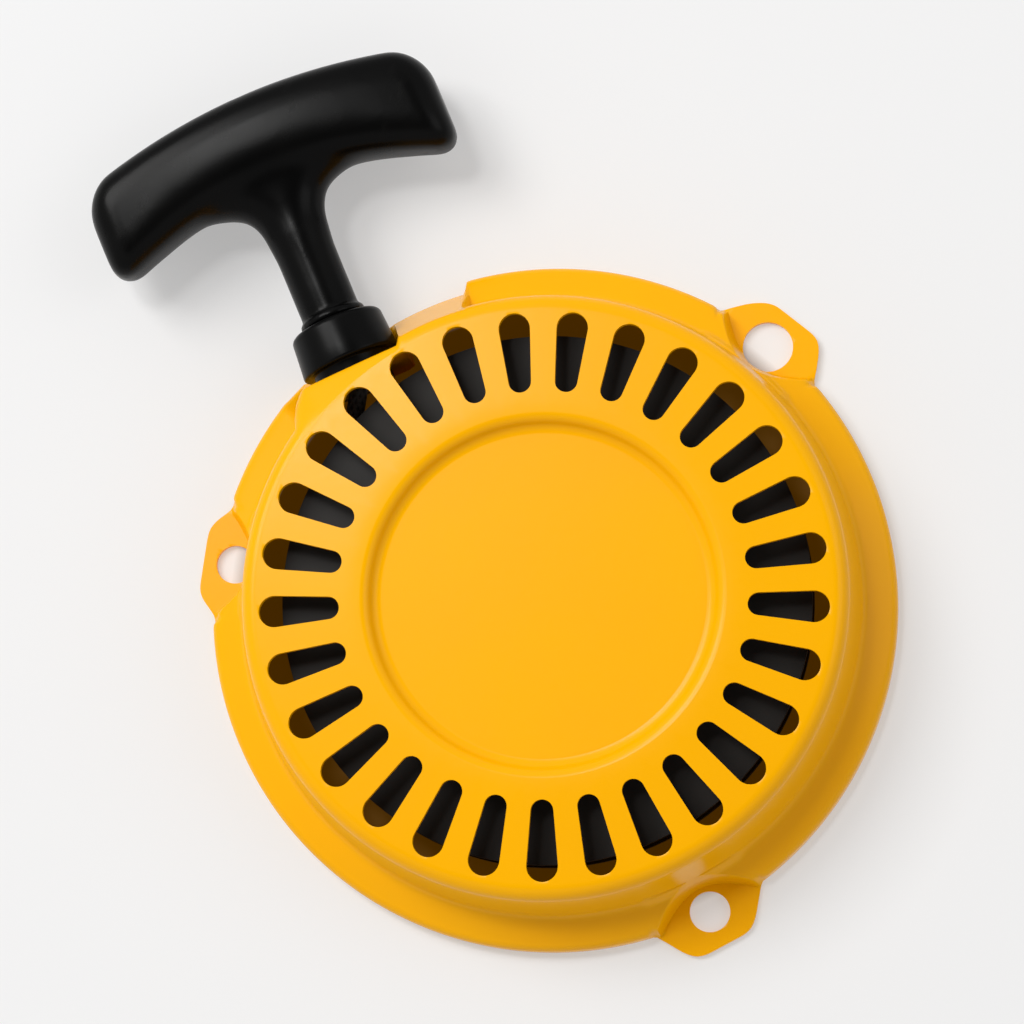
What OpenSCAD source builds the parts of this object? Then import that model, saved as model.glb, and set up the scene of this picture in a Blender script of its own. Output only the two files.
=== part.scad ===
// Recoil starter for a small generator engine: a pressed-steel housing with cooling
// slots, a spring-returned rope reel with two pawls, and a T-handle parked in a guide.
// The engine-side face is z = 0, the reel axis is the Z axis, and the rope leaves
// the side wall through the guide.

/* [Housing] */
// Outer radius of the rim that sits on the engine
rim_r = 75; // [70:0.5:90]
// Height of the flat top ring above the mounting face
top_h = 27; // [25:0.5:30]
// Thickness of the pressed sheet
sheet = 1.5; // [1.2:0.1:1.8]
// Outer radius of the side wall at its foot
wall_foot_r = 67.5; // [66:0.5:69]
// Outer radius of the side wall under the shoulder
wall_top_r = 65.5; // [64:0.5:66]
// Radius of the shoulder between wall and top ring
shoulder_r = 3.5; // [3:0.1:5]
// Height of the plain band at the rim
rim_band_h = 3.5; // [2:0.5:5]
// Radius of the rounded crown above the rim band
crown_r = 2.5; // [2:0.1:4]
// Height at which the side wall leaves the rim skirt
skirt_h = 8.5; // [7:0.5:11]

/* [Centre panel] */
// Radius where the top ring starts to dip towards the panel
recess_outer_r = 39.5; // [38:0.5:42]
// Radius of the flat sunken panel
recess_inner_r = 35; // [30:0.5:36]
// Depth of the panel below the top ring
recess_depth = 2.6; // [2:0.1:3]

/* [Cooling slots] */
// Number of slots in the ring
slot_count = 29; // [12:1:32]
// Angle of the first slot
slot_start_deg = 8.2; // [0:0.1:30]
// Radius reached by the outer end of a slot
slot_outer_r = 61.4; // [58:0.2:61.8]
// Radius reached by the inner end of a slot
slot_inner_r = 43.9; // [43:0.2:50]
// Width of a slot near its outer end
slot_outer_w = 6.8; // [4:0.1:7.5]
// Width of a slot near its inner end
slot_inner_w = 4.9; // [3:0.1:5.5]

/* [Mounting lugs] */
// Angles of the three lugs
lug_deg = [49.5, 170.5, 296];
// Radius from the reel axis to each lug hole
lug_hole_pos_r = [74, 71.3, 74.5];
// Diameter of each lug hole
lug_hole_d = [11, 8.4, 8.8];
// Radius reached by each lug's outer edge
lug_edge_r = [82.4, 77.9, 82.4];
// Radius where the pocket above each lug meets the wall
lug_pocket_r = [67.2, 65.8, 67.2];
// Height of the pocket above the mounting face
lug_pocket_h = 11; // [10:0.5:12]
// Radius of the pocket's round end around each lug hole
lug_pocket_round_r = 8; // [7.5:0.1:8.5]
// Half width of a lug at its outer edge
lug_tip_half_w = 7.4; // [6:0.5:9]
// Half width of a lug at the rim
lug_root_half_w = 14; // [12:0.5:16]

/* [Rope outlet] */
// Direction in which the rope leaves
outlet_deg = 111.5; // [100:0.5:125]
// Sideways offset of the outlet from the reel axis
outlet_offset = 19.7; // [17:0.1:21]
// Height of the outlet above the mounting face
outlet_z = 14; // [13.5:0.1:14.5]
// Distance from the reel axis to the flat that carries the guide
facet_u = 62.7; // [62:0.1:63.5]
// Width of the flat that carries the guide
facet_w = 22.6; // [22:0.2:24]
// Angles between which the rim is drawn in around the outlet
outlet_sector = [104.5, 138];
// Radius of the drawn-in rim
outlet_rim_r = 72.6; // [72:0.1:74]

/* [Rope guide] */
// Radius of the collar at its outer end
collar_r = 10.4; // [10:0.1:10.8]
// Radius of the collar next to the housing
collar_base_r = 11; // [10.5:0.1:11.2]
// Length of the collar
collar_len = 9.8; // [8:0.2:12]
// Gap between the housing flat and the collar
collar_gap = 2.4; // [1:0.1:3]
// Radius of the neck that passes through the housing
neck_r = 8.8; // [8:0.1:9]
// Gap around the neck in its hole
neck_gap = 0.1; // [0.05:0.05:0.3]
// Thickness of the clip that holds the guide
clip_t = 1; // [0.8:0.1:1.2]

/* [Rope] */
// Diameter of the rope
rope_d = 4; // [3.5:0.1:4.2]
// Turns of rope wound on the reel
rope_turns = 3.6; // [2.5:0.1:3.6]
// Gap between neighbouring turns of rope
rope_lay_gap = 0.05; // [0.02:0.01:0.1]

/* [Handle] */
// Overall width of the grip
grip_w = 81.6; // [70:0.5:90]
// Depth of the grip along the pull direction
grip_depth = 24.6; // [22:0.2:26]
// Thickness of the grip
grip_t = 20; // [18:0.5:20]
// How far the ends of the grip sweep back
grip_sweep = 4.6; // [3:0.2:7]
// Distance from the guide's mouth to the outer face of the grip
handle_len = 56.2; // [50:0.5:65]
// Radius of the stem
stem_r = 6.6; // [6:0.1:7]
// Radius of the shoulder at the foot of the stem
stem_foot_r = 7.3; // [7:0.1:7.8]

/* [Reel] */
// Outer radius of the reel
reel_r = 57.3; // [54:0.1:57.5]
// Radius of the groove floor
groove_floor_r = 32; // [32:0.5:34]
// Width of the rope groove
groove_w = 6; // [5:0.1:6.2]
// Thickness of each reel flange
flange_t = 2; // [1.5:0.1:2.4]
// Radius of the spring cavity
cavity_r = 29; // [28:0.1:29.5]
// Number of stiffening ribs under the reel
rib_count = 12; // [6:1:16]

/* [Centre] */
// Radius of the post on which the reel turns
post_r = 6; // [5.5:0.1:6.2]
// Running gap between post and bush
post_gap = 0.05; // [0.02:0.01:0.1]
// Radius of the post where the recoil spring hooks on
arbor_r = 7.5; // [7:0.1:8]
// Wall of the bush in the reel
bush_wall = 1.4; // [1:0.1:1.6]

/* [Recoil spring] */
// Number of coils in the recoil spring
spring_turns = 9; // [5:1:11]
// Thickness of the recoil spring strip
spring_t = 0.5; // [0.4:0.05:0.6]
// Width of the recoil spring strip
spring_w = 6.6; // [5:0.1:6.8]

/* [Pawls] */
// Radius at which the pawls pivot
pawl_pivot_r = 20; // [19.5:0.1:20.5]
// Length of a pawl from its pivot to its tip
pawl_len = 14; // [12:0.5:15]
// Radius of the pawl pivot pins
pawl_pin_r = 2.5; // [2.2:0.1:2.7]
// Angle through which a pawl swings out
pawl_swing_deg = 27; // [20:1:28]
// Angle through which the friction plate turns on the reel
plate_turn_deg = 30; // [24:1:32]

/* [Hidden] */

$fn = 96;
eps = 0.01;
cut = 1;
past = 20;
rest_gap = 0.3;
arc_steps = 8;

// Housing
recess_run = recess_outer_r - recess_inner_r;
recess_turn = 2 * atan(recess_depth / recess_run);
recess_arc_r = recess_run / (2 * sin(recess_turn));
panel_z = top_h - recess_depth;
crown_turn = 62;
outlet_band_h = 2.5;
outlet_turn = 40;
shoulder_centre = [wall_top_r - shoulder_r, top_h - shoulder_r];
skirt_fillet = 1;
core_r = 55;
seam_deg = asin(sheet / wall_foot_r);
seam_lap = 0.1;
lug_corner_r = 2;
lug_root_r = 66;
lug_root_inset = 0.6;
lug_root_flare = 1;
// Pocket outline at its neck, waist, mouth and end: distance out, half width
pocket_neck = [2, 4.8];
pocket_waist = [rim_r - 3.5, 9];
pocket_mouth = [rim_r + 0.5, 13];
pocket_end = [rim_r + 15, 13];
boss_root_u = 40;
boss_slope = 2.2;
boss_corner = [5.5, 6.2];
boss_side_share = 0.4;

// Outlet line, measured from the reel axis along the rope
collar_u = facet_u + collar_gap;
mouth_u = collar_u + collar_len;
neck_len = 3.5;
guide_end_u = facet_u - neck_len;
clip_gap = 0.1;
clip_u = facet_u - sheet - clip_gap - clip_t;
clip_r = neck_r + 0.8;
clip_groove_r = neck_r - 1.1;
clip_fit = 0.02;
guide_bore_r = 3;
socket_r = 5.7;
socket_depth = 6;
eyelet_seat_r = 5.6;
eyelet_seat_len = 3.4;

// Heights of the reel stack
groove_z0 = outlet_z - groove_w / 2;
groove_z1 = outlet_z + groove_w / 2;
reel_z0 = groove_z0 - flange_t;
reel_z1 = groove_z1 + flange_t;
cavity_floor_z = reel_z0 + 4;
cavity_rim_z = reel_z1 + 2;
hub_z0 = reel_z0 - 3.3;
hub_r = 9.5;
bush_r = post_r + post_gap + bush_wall;
thrust_t = 0.8;
end_play = 0.1;
thrust_z = cavity_floor_z + end_play;
arbor_z = thrust_z + thrust_t + end_play;
thrust_r = arbor_r + 2.5;
post_flange_r = 11;
post_flange_t = 1.6;
post_z1 = panel_z - sheet;
post_z0 = 3.5;
spring_z = cavity_floor_z + 1.2;
spring_slot_w = 1.4;
spring_slot_depth = 3.2;
spring_slot_play = 0.4;
coil_in_r = arbor_r + 1.2;
coil_out_r = cavity_r - 1;
coil_bunching = 0.62;
coil_steps = 30;
spring_notch_w = 2;
spring_notch_len = 3;
spring_hook_past = 1.6;
rib_t = 1.6;
rib_h = 1.2;
rib_out_inset = 2;

// Pawls, friction plate and centre fixings
pawl_t = 3;
pawl_z = reel_z0 - 0.4 - pawl_t;
pawl_eye_r = 4.7;
pawl_rest_deg = -100;
pawl_gap = 0.06;
nib_r = 1.3;
nib_at = 8;
plate_t = 1.4;
plate_z = pawl_z - 0.5 - plate_t;
plate_r = 27;
plate_gap = 0.15;
cam_gap = 0.35;
washer_r = 10;
washer_t = 1.2;
screw_r = 2.9;
screw_gap = 0.1;
screw_head_r = 6;
screw_head_h = 1.8;
screw_len = 14;
socket_key_r = 2.9;
socket_key_depth = 1.2;
friction_coil_r = 11;
friction_wire_r = 0.5;
pawl_coil_r = 3.6;
pawl_wire_r = 0.35;
pawl_spring_recess_r = 4.6;
pawl_spring_recess_h = 2.6;
pin_depth = 3.8;
pin_foot = 0.3;
pawl_web = 5;
pawl_back = [-3, -1.4];
pawl_nose = [3.4, 2.4];
pawl_nose_len = 2.5;
nib_play = 0.2;

// Rope path in the outlet frame: wound turns, a straight run, then a bend into the guide
rope_r = rope_d / 2;
rope_pitch = rope_d + rope_lay_gap;
rope_in_r = groove_floor_r + rope_r + rope_lay_gap;
rope_out_r = rope_in_r + rope_pitch * rope_turns;
bend_r = 10;
bend_end_u = guide_end_u + 4;
bend_w = outlet_offset + bend_r;
rope_bend_deg = atan2(bend_end_u, bend_w)
    - acos((rope_out_r + bend_r) / norm([bend_end_u, bend_w]));
rope_sides = 12;
knot_ring_r = 2.4;
knot_pocket_r = 6;
reel_knot_r = groove_floor_r - 9;
reel_knot_play = 0.5;
rope_hole_r = rope_r / 2;
knot_depth = 8;
knot_u = mouth_u + handle_len - knot_depth;

// Handle
stem_u0 = mouth_u + rest_gap;
nose_r = 5;
nose_len = 4.5;
grip_round = 7.5;
grip_top_u = mouth_u + handle_len;
grip_end_t = 17;
flare_r = 7;
scoop_r = 98;
handle_bore_r = rope_r + 0.4;
foot_h = 1.6;
flare_at = stem_r + flare_r + 0.6;
flare_depth = 3;
insert_t = 1.5;
insert_r = knot_pocket_r - 0.1;

// Points along an arc of radius r about c, from angle a0 to a1
function arc(c, r, a0, a1, steps = arc_steps) =
    [for (i = [0 : steps]) c + r * [cos(a0 + (a1 - a0) * i / steps), sin(a0 + (a1 - a0) * i / steps)]];

// The dip from the top ring down to the centre panel, t inside the outer face
function recess_curve(t) = concat(
    arc([recess_outer_r, top_h - recess_arc_r], recess_arc_r - t, 90, 90 + recess_turn),
    arc([recess_inner_r, panel_z + recess_arc_r], recess_arc_r + t, 270 + recess_turn, 270)
);

// The shoulder between side wall and top ring
function shoulder_curve(t) = arc(shoulder_centre, shoulder_r - t, 0, 90);

// Outer radius of the side wall at height z
function wall_r(z) = wall_foot_r
    + (wall_top_r - wall_foot_r) * (z - skirt_h) / (top_h - shoulder_r - skirt_h);

// Half section of the drum without its rim, t inside the outer face
function drum_profile(t) = concat(
    [[0, -t], [wall_r(-t) - t, -t]],
    shoulder_curve(t),
    recess_curve(t),
    [[0, panel_z - t]]
);

// Half section of the rim skirt around the drum
function skirt_profile(t) = concat(
    [[core_r, -t], [rim_r - t, -t]],
    arc([rim_r - crown_r, rim_band_h], crown_r - t, 0, crown_turn),
    [[wall_foot_r + skirt_fillet - t, skirt_h - t], [wall_r(skirt_h + 1) - t, skirt_h + 1 - t],
     [core_r, skirt_h + 1 - t]]
);

// Half section of the sloping wall where the rim is drawn in around the outlet
function outlet_profile(t) = [
    [core_r, -t], [outlet_rim_r - t, -t], [outlet_rim_r - t, outlet_band_h],
    shoulder_centre + (shoulder_r - t) * [cos(outlet_turn), sin(outlet_turn)],
    [core_r, shoulder_centre.y + (shoulder_r - t) * sin(outlet_turn)],
];

// The angle of a direction
function bearing(v) = atan2(v.y, v.x);

// A polygon's corners rounded to radius r, for a convex outline
function rounded(points, r, steps = 5) = [
    for (i = [0 : len(points) - 1])
        let (
            p = points[i],
            a = points[(i + len(points) - 1) % len(points)] - p,
            b = points[(i + 1) % len(points)] - p,
            ua = a / norm(a),
            ub = b / norm(b),
            half = acos(ua * ub) / 2,
            c = p + (ua + ub) / norm(ua + ub) * r / sin(half),
            start = bearing(p + ua * r / tan(half) - c),
            turn = (bearing(p + ub * r / tan(half) - c) - start + 540) % 360 - 180
        )
        for (k = [0 : steps]) c + r * [cos(start + turn * k / steps), sin(start + turn * k / steps)]
];

// Turns a half section about the Z axis between two angles
module swept(from_deg, to_deg) {
    rotate([0, 0, from_deg])
        rotate_extrude(angle = to_deg - from_deg) children();
}

// Draws children along the rope outlet: Z runs outward, Y sideways, origin beside the reel axis
module on_outlet(u = 0) {
    rotate([0, 0, outlet_deg])
        translate([u, outlet_offset, outlet_z])
            rotate([0, 90, 0]) children();
}

// Outline of the flat boss that carries the guide, in the outlet frame
module boss_outline(t) {
    right = outlet_offset - facet_w / 2;
    left = outlet_offset + facet_w / 2;
    side = left - t * boss_side_share;
    polygon([
        [boss_root_u, right + t],
        [facet_u - t, right + t],
        [facet_u - t, side],
        [facet_u - t - boss_corner.x, side + boss_corner.y],
        [boss_root_u, side + boss_corner.y],
    ]);
}

module boss(t) {
    intersection() {
        rotate([0, 0, outlet_deg])
            translate([0, 0, -t]) linear_extrude(top_h) boss_outline(t);
        translate([0, 0, -t])
            cylinder(
                h = top_h - sheet / 2,
                r1 = wall_top_r - shoulder_r + boss_slope * top_h - t,
                r2 = wall_top_r - shoulder_r + boss_slope * sheet / 2 - t
            );
    }
}

// Space in front of the flat, above the drawn-in rim
module boss_front() {
    rotate([0, 0, outlet_deg])
        translate([facet_u, outlet_offset - facet_w / 2, outlet_band_h])
            cube([past, facet_w, top_h]);
}

// Pocket above a lug, grown by t
module lug_pocket(i, t) {
    reach = lug_pocket_r[i] - t;
    round_r = lug_pocket_round_r + t;
    half = [[reach, 0] + pocket_neck, pocket_waist, pocket_mouth, pocket_end];
    rotate([0, 0, lug_deg[i]]) linear_extrude(lug_pocket_h + t) union() {
        translate([reach + round_r, 0]) circle(round_r);
        polygon(concat(
            [for (p = half) [p.x, -p.y - t]],
            [for (k = [len(half) - 1 : -1 : 0]) [half[k].x, half[k].y + t]]
        ));
    }
}

module lug_plate(i) {
    rotate([0, 0, lug_deg[i]]) linear_extrude(sheet)
        polygon(rounded([
            [lug_root_r, -lug_root_half_w - lug_root_flare],
            [rim_r - lug_root_inset, -lug_root_half_w],
            [lug_edge_r[i], -lug_tip_half_w],
            [lug_edge_r[i], lug_tip_half_w],
            [rim_r - lug_root_inset, lug_root_half_w],
            [lug_root_r, lug_root_half_w + lug_root_flare],
        ], lug_corner_r));
}

// The drum with its rim, its drawn-in sector and its boss, t inside the outer face
module drum(t) {
    seam = t > 0 ? seam_deg : -seam_lap;
    rotate_extrude() polygon(drum_profile(t));
    swept(outlet_sector[1] + seam, outlet_sector[0] + 360 - seam) polygon(skirt_profile(t));
    swept(outlet_sector[0] + seam, outlet_sector[1] - seam) polygon(outlet_profile(t));
    boss(t);
}

module housing_outside() {
    difference() {
        drum(0);
        boss_front();
        for (i = [0 : len(lug_deg) - 1]) translate([0, 0, sheet]) lug_pocket(i, 0);
    }
    for (i = [0 : len(lug_deg) - 1]) lug_plate(i);
}

module housing_inside() {
    difference() {
        drum(sheet);
        for (i = [0 : len(lug_deg) - 1]) translate([0, 0, -sheet]) lug_pocket(i, sheet);
        rotate([0, 0, outlet_deg])
            translate([facet_u - sheet, outlet_offset - facet_w / 2 - sheet, outlet_band_h - sheet])
                cube([past, facet_w + sheet, top_h]);
    }
}

module slot_cut() {
    ro = slot_outer_w / 2;
    ri = slot_inner_w / 2;
    xo = slot_outer_r - ro;
    xi = slot_inner_r + ri;
    lean = asin((ro - ri) / (xo - xi));
    translate([0, 0, top_h - sheet - cut]) linear_extrude(sheet + 2 * cut) polygon(concat(
        arc([xo, 0], ro, -90 - lean, 90 + lean),
        arc([xi, 0], ri, 90 + lean, 270 - lean)
    ));
}

module starter_housing() {
    color("gold") difference() {
        housing_outside();
        housing_inside();
        for (i = [0 : slot_count - 1])
            rotate([0, 0, slot_start_deg + i * 360 / slot_count]) slot_cut();
        for (i = [0 : len(lug_deg) - 1])
            rotate([0, 0, lug_deg[i]]) translate([lug_hole_pos_r[i], 0, -cut])
                cylinder(h = sheet + 2 * cut, d = lug_hole_d[i]);
        on_outlet(facet_u - sheet - cut) cylinder(h = sheet + 2 * cut, r = neck_r + neck_gap);
    }
}

module reel_post() {
    color("silver") difference() {
        union() {
            translate([0, 0, post_z0]) cylinder(h = post_z1 - post_z0, r = post_r);
            translate([0, 0, arbor_z]) cylinder(h = post_z1 - arbor_z, r = arbor_r);
            translate([0, 0, post_z1 - post_flange_t]) cylinder(h = post_flange_t, r = post_flange_r);
        }
        translate([0, 0, post_z0 - cut]) cylinder(h = screw_len + cut, r = screw_r + screw_gap);
        translate([arbor_r - spring_slot_depth, -spring_slot_w / 2, spring_z - spring_slot_play])
            cube([spring_slot_depth + cut, spring_slot_w, spring_w + 2 * spring_slot_play]);
    }
}

// Radius of the recoil spring's strip, part s of the way from its inner to its outer end
function coil_r(s) = coil_in_r + (coil_out_r - coil_in_r) * pow(s, coil_bunching);

module recoil_spring() {
    steps = spring_turns * coil_steps;
    spiral = [for (i = [0 : steps]) let (s = i / steps, a = spring_turns * 360 * s)
        [coil_r(s) * cos(a), coil_r(s) * sin(a)]];
    unit = [for (i = [0 : steps]) let (a = spring_turns * 360 * i / steps) [cos(a), sin(a)]];
    color("slategray") translate([0, 0, spring_z]) linear_extrude(spring_w) union() {
        polygon(concat(
            [for (i = [0 : steps]) spiral[i] + unit[i] * spring_t / 2],
            [for (i = [steps : -1 : 0]) spiral[i] - unit[i] * spring_t / 2]
        ));
        translate([arbor_r - spring_slot_depth + spring_slot_play, -spring_t / 2])
            square([coil_in_r - arbor_r + spring_slot_depth - spring_slot_play, spring_t]);
        translate([coil_out_r, -spring_t / 2])
            square([cavity_r - coil_out_r + spring_hook_past, spring_t]);
    }
}

module thrust_washer() {
    color("silver") translate([0, 0, thrust_z]) difference() {
        cylinder(h = thrust_t, r = thrust_r);
        translate([0, 0, -cut]) cylinder(h = thrust_t + 2 * cut, r = post_r + post_gap);
    }
}

// Two places about the reel axis, half a turn apart
module both_pawls() {
    for (turn = [0, 180]) rotate([0, 0, turn]) children();
}

module rope_reel() {
    color("dimgray") difference() {
        union() {
            translate([0, 0, reel_z0]) cylinder(h = flange_t, r = reel_r);
            translate([0, 0, groove_z1]) cylinder(h = flange_t, r = reel_r);
            translate([0, 0, reel_z0]) cylinder(h = cavity_rim_z - reel_z0, r = groove_floor_r);
            translate([0, 0, hub_z0]) cylinder(h = reel_z0 - hub_z0 + cut, r = hub_r);
            for (i = [0 : rib_count - 1])
                rotate([0, 0, (i + 0.5) * 360 / rib_count])
                    translate([groove_floor_r + cut, -rib_t / 2, reel_z0 - rib_h])
                        cube([reel_r - groove_floor_r - cut - rib_out_inset, rib_t, rib_h + eps]);
            translate([0, 0, reel_z0 - rib_h]) difference() {
                cylinder(h = rib_h + eps, r = groove_floor_r + 2 * cut);
                translate([0, 0, -cut]) cylinder(h = rib_h + 2 * cut, r = groove_floor_r);
            }
        }
        translate([0, 0, cavity_floor_z]) cylinder(h = top_h, r = cavity_r);
        translate([0, 0, hub_z0 - cut]) cylinder(h = top_h, r = bush_r);
        translate([cavity_r - cut, -spring_notch_w / 2, spring_z - spring_slot_play])
            cube([spring_notch_len, spring_notch_w, top_h]);
        both_pawls() translate([pawl_pivot_r, 0, reel_z0 - cut]) {
            cylinder(h = cut + pawl_spring_recess_h, r = pawl_spring_recess_r);
            cylinder(h = cut + pin_depth, r = pawl_pin_r);
        }
        rope_hole();
    }
}

// Turns about the reel axis to where the wound rope starts
module at_rope_start() {
    rotate([0, 0, outlet_deg + 90 - rope_bend_deg + rope_turns * 360]) children();
}

// Knot pocket under the reel, and the hole from it up into the rope groove
module rope_hole() {
    at_rope_start() {
        translate([reel_knot_r, 0, groove_z0 - rope_d])
            cylinder(h = rope_d + cut, r = knot_ring_r + rope_r + reel_knot_play);
        translate([reel_knot_r, 0, groove_z0 + rope_hole_r / 2]) rotate([0, 90, 0])
            cylinder(h = groove_floor_r - reel_knot_r + cut, r = rope_hole_r);
    }
}

module reel_bush() {
    color("darkkhaki") translate([0, 0, hub_z0 + end_play]) difference() {
        cylinder(h = cavity_floor_z - hub_z0 - 2 * end_play, r = bush_r);
        translate([0, 0, -cut]) cylinder(h = top_h, r = post_r + post_gap);
    }
}

// Sweeps the rope's round section along points of a level path
module rope_along(path, z) {
    last = len(path) - 1;
    side = [for (i = [0 : last])
        let (d = path[min(i + 1, last)] - path[max(i - 1, 0)]) [-d.y, d.x] / norm(d)];
    points = [for (i = [0 : last], k = [0 : rope_sides - 1])
        let (a = k * 360 / rope_sides, q = path[i] + side[i] * rope_r * cos(a))
        [q.x, q.y, z + rope_r * sin(a)]];
    walls = [for (i = [0 : last - 1], k = [0 : rope_sides - 1])
        let (m = (k + 1) % rope_sides, n = i * rope_sides)
        [n + k, n + rope_sides + k, n + rope_sides + m, n + m]];
    start = [for (k = [0 : rope_sides - 1]) k];
    end = [for (k = [rope_sides - 1 : -1 : 0]) last * rope_sides + k];
    polyhedron(points, concat([start], walls, [end]));
}

// Turns of rope in the reel's groove, ending where the rope leaves it
function wound_path() = let (steps = ceil(rope_turns * 36))
    [for (i = [0 : steps])
        let (s = i / steps, r = rope_in_r + rope_pitch * rope_turns * s,
             a = 90 - rope_bend_deg + (1 - s) * rope_turns * 360)
        r * [cos(a), sin(a)]];

// Straight run from the reel, then the bend onto the guide's axis
function run_path() = let (
    leave = rope_out_r * [sin(rope_bend_deg), cos(rope_bend_deg)],
    ahead = [cos(rope_bend_deg), -sin(rope_bend_deg)],
    bend = [for (i = [0 : 6]) let (a = rope_bend_deg * (1 - i / 6))
        [bend_end_u - bend_r * sin(a), outlet_offset + bend_r * (1 - cos(a))]]
) concat([leave + ahead * rest_gap, leave + ahead * 8, leave + ahead * 16], bend);

module rope_wound() {
    color("whitesmoke") rotate([0, 0, outlet_deg]) rope_along(wound_path(), outlet_z);
}

module rope_run() {
    color("whitesmoke") rotate([0, 0, outlet_deg]) rope_along(run_path(), outlet_z);
}

module rope_tail() {
    color("whitesmoke") on_outlet(bend_end_u + rest_gap)
        cylinder(h = knot_u - bend_end_u - rest_gap, r = rope_r);
}

// Knot on the end of the rope, as a closed ring around its end
module knot() {
    rotate_extrude() translate([knot_ring_r, 0]) circle(rope_r, $fn = 32);
    translate([0, 0, -rope_r]) cylinder(h = rope_d, r = knot_ring_r);
}

module rope_reel_knot() {
    color("whitesmoke") at_rope_start()
        translate([reel_knot_r, 0, groove_z0 + cut - rope_r - rest_gap]) knot();
}

module rope_handle_knot() {
    color("whitesmoke") on_outlet(knot_u + rope_r + rest_gap / 3) knot();
}

module rope_guide() {
    lip = 1;
    color([0.08, 0.08, 0.09]) on_outlet() difference() {
        rotate_extrude() polygon(concat(
            [[0, guide_end_u], [clip_groove_r, guide_end_u], [clip_groove_r, facet_u - sheet],
             [neck_r, facet_u - sheet], [neck_r, collar_u], [collar_base_r - lip / 2, collar_u],
             [collar_base_r, collar_u + lip / 2], [collar_base_r, collar_u + collar_len / 3]],
            arc([collar_r - lip, mouth_u - lip], lip, 0, 90),
            [[0, mouth_u]]
        ));
        translate([0, 0, guide_end_u - cut])
            cylinder(h = mouth_u - guide_end_u + 2 * cut, r = guide_bore_r);
        translate([0, 0, guide_end_u - cut]) cylinder(h = eyelet_seat_len + cut, r = eyelet_seat_r);
        translate([0, 0, mouth_u - socket_depth]) cylinder(h = socket_depth + cut, r = socket_r);
    }
}

module guide_clip() {
    color("silver") on_outlet(clip_u) difference() {
        cylinder(h = clip_t, r = clip_r);
        translate([0, 0, -cut]) cylinder(h = clip_t + 2 * cut, r = clip_groove_r + clip_fit);
        translate([-clip_groove_r * 0.8, -past - clip_groove_r * 0.6, -cut])
            cube([clip_groove_r * 1.6, past, clip_t + 2 * cut]);
    }
}

module rope_eyelet() {
    r = eyelet_seat_r - clip_fit;
    len = eyelet_seat_len - end_play;
    bell = (len - end_play) * 0.75;
    color("silver") on_outlet(guide_end_u) rotate_extrude() polygon(concat(
        [[r, 0], [r, len], [guide_bore_r, len]],
        arc([guide_bore_r + bell, len - end_play], bell, 180, 258),
        [[r - rest_gap, 0]]
    ));
}

// A pawl at its pivot, lying along +X
module pawl() {
    difference() {
        linear_extrude(pawl_t) union() {
            circle(pawl_eye_r);
            polygon([
                [0, -pawl_eye_r], [pawl_len - pawl_web, pawl_back[0]], [pawl_len, pawl_back[1]],
                [pawl_len, pawl_nose[0]], [pawl_len - pawl_nose_len, pawl_nose[0]],
                [pawl_len - pawl_web, pawl_nose[1]], [0, pawl_eye_r],
            ]);
        }
        translate([0, 0, -cut]) cylinder(h = pawl_t + 2 * cut, r = pawl_pin_r + pawl_gap);
    }
    translate([nib_at, 0, plate_z - pawl_z - nib_play])
        cylinder(h = pawl_z - plate_z + nib_play + eps, r = nib_r);
}

module pawl_at_rest() {
    translate([pawl_pivot_r, 0, pawl_z]) rotate([0, 0, pawl_rest_deg]) pawl();
}

module pawl_a() {
    color("silver") pawl_at_rest();
}

module pawl_b() {
    color("silver") rotate([0, 0, 180]) pawl_at_rest();
}

module pawl_pins() {
    color("silver") both_pawls() translate([pawl_pivot_r, 0, pawl_z - pin_foot])
        cylinder(h = reel_z0 + pin_depth - pawl_z + pin_foot, r = pawl_pin_r);
}

// Points of a helix of radius r, rising from z0 to z1
function helix(r, z0, z1, turns, steps) =
    [for (i = [0 : steps]) let (s = i / steps, a = turns * 360 * s)
        [r * cos(a), r * sin(a), z0 + (z1 - z0) * s]];

// A wire coil swept from rings that stand square to its circle
module coil(r, wire_r, z0, z1, turns) {
    sides = 8;
    steps = ceil(turns * 24);
    middle = helix(r, z0, z1, turns, steps);
    points = [for (p = middle, k = [0 : sides - 1])
        let (a = k * 360 / sides, q = 1 + wire_r * cos(a) / r)
        [p.x * q, p.y * q, p.z + wire_r * sin(a)]];
    walls = [for (i = [0 : steps - 1], k = [0 : sides - 1])
        let (m = (k + 1) % sides, n = i * sides) [n + k, n + m, n + sides + m, n + sides + k]];
    start = [for (k = [sides - 1 : -1 : 0]) k];
    end = [for (k = [0 : sides - 1]) steps * sides + k];
    polyhedron(points, concat([start], walls, [end]));
}

module pawl_springs() {
    color("silver") both_pawls() translate([pawl_pivot_r, 0, 0])
        coil(pawl_coil_r, pawl_wire_r, reel_z0 + pawl_wire_r + end_play,
             reel_z0 + pawl_spring_recess_h - pawl_wire_r - end_play, 2);
}

// Where a pawl's nib stands on the friction plate once the plate has turned by a
function nib_on_plate(a) = let (
    swing = pawl_rest_deg + a * pawl_swing_deg / plate_turn_deg,
    p = [pawl_pivot_r + nib_at * cos(swing), nib_at * sin(swing)]
) [p.x * cos(a) + p.y * sin(a), p.y * cos(a) - p.x * sin(a)];

module cam_slot() {
    steps = 8;
    over = 3;
    w = nib_r + cam_gap;
    path = [for (i = [0 : steps]) nib_on_plate(-over + (plate_turn_deg + 2 * over) * i / steps)];
    side = [for (i = [0 : steps])
        let (d = path[min(i + 1, steps)] - path[max(i - 1, 0)]) [-d.y, d.x] / norm(d) * w];
    polygon(concat(
        [for (i = [0 : steps]) path[i] + side[i]],
        [for (i = [steps : -1 : 0]) path[i] - side[i]]
    ));
    translate(path[0]) circle(w);
    translate(path[steps]) circle(w);
}

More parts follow.
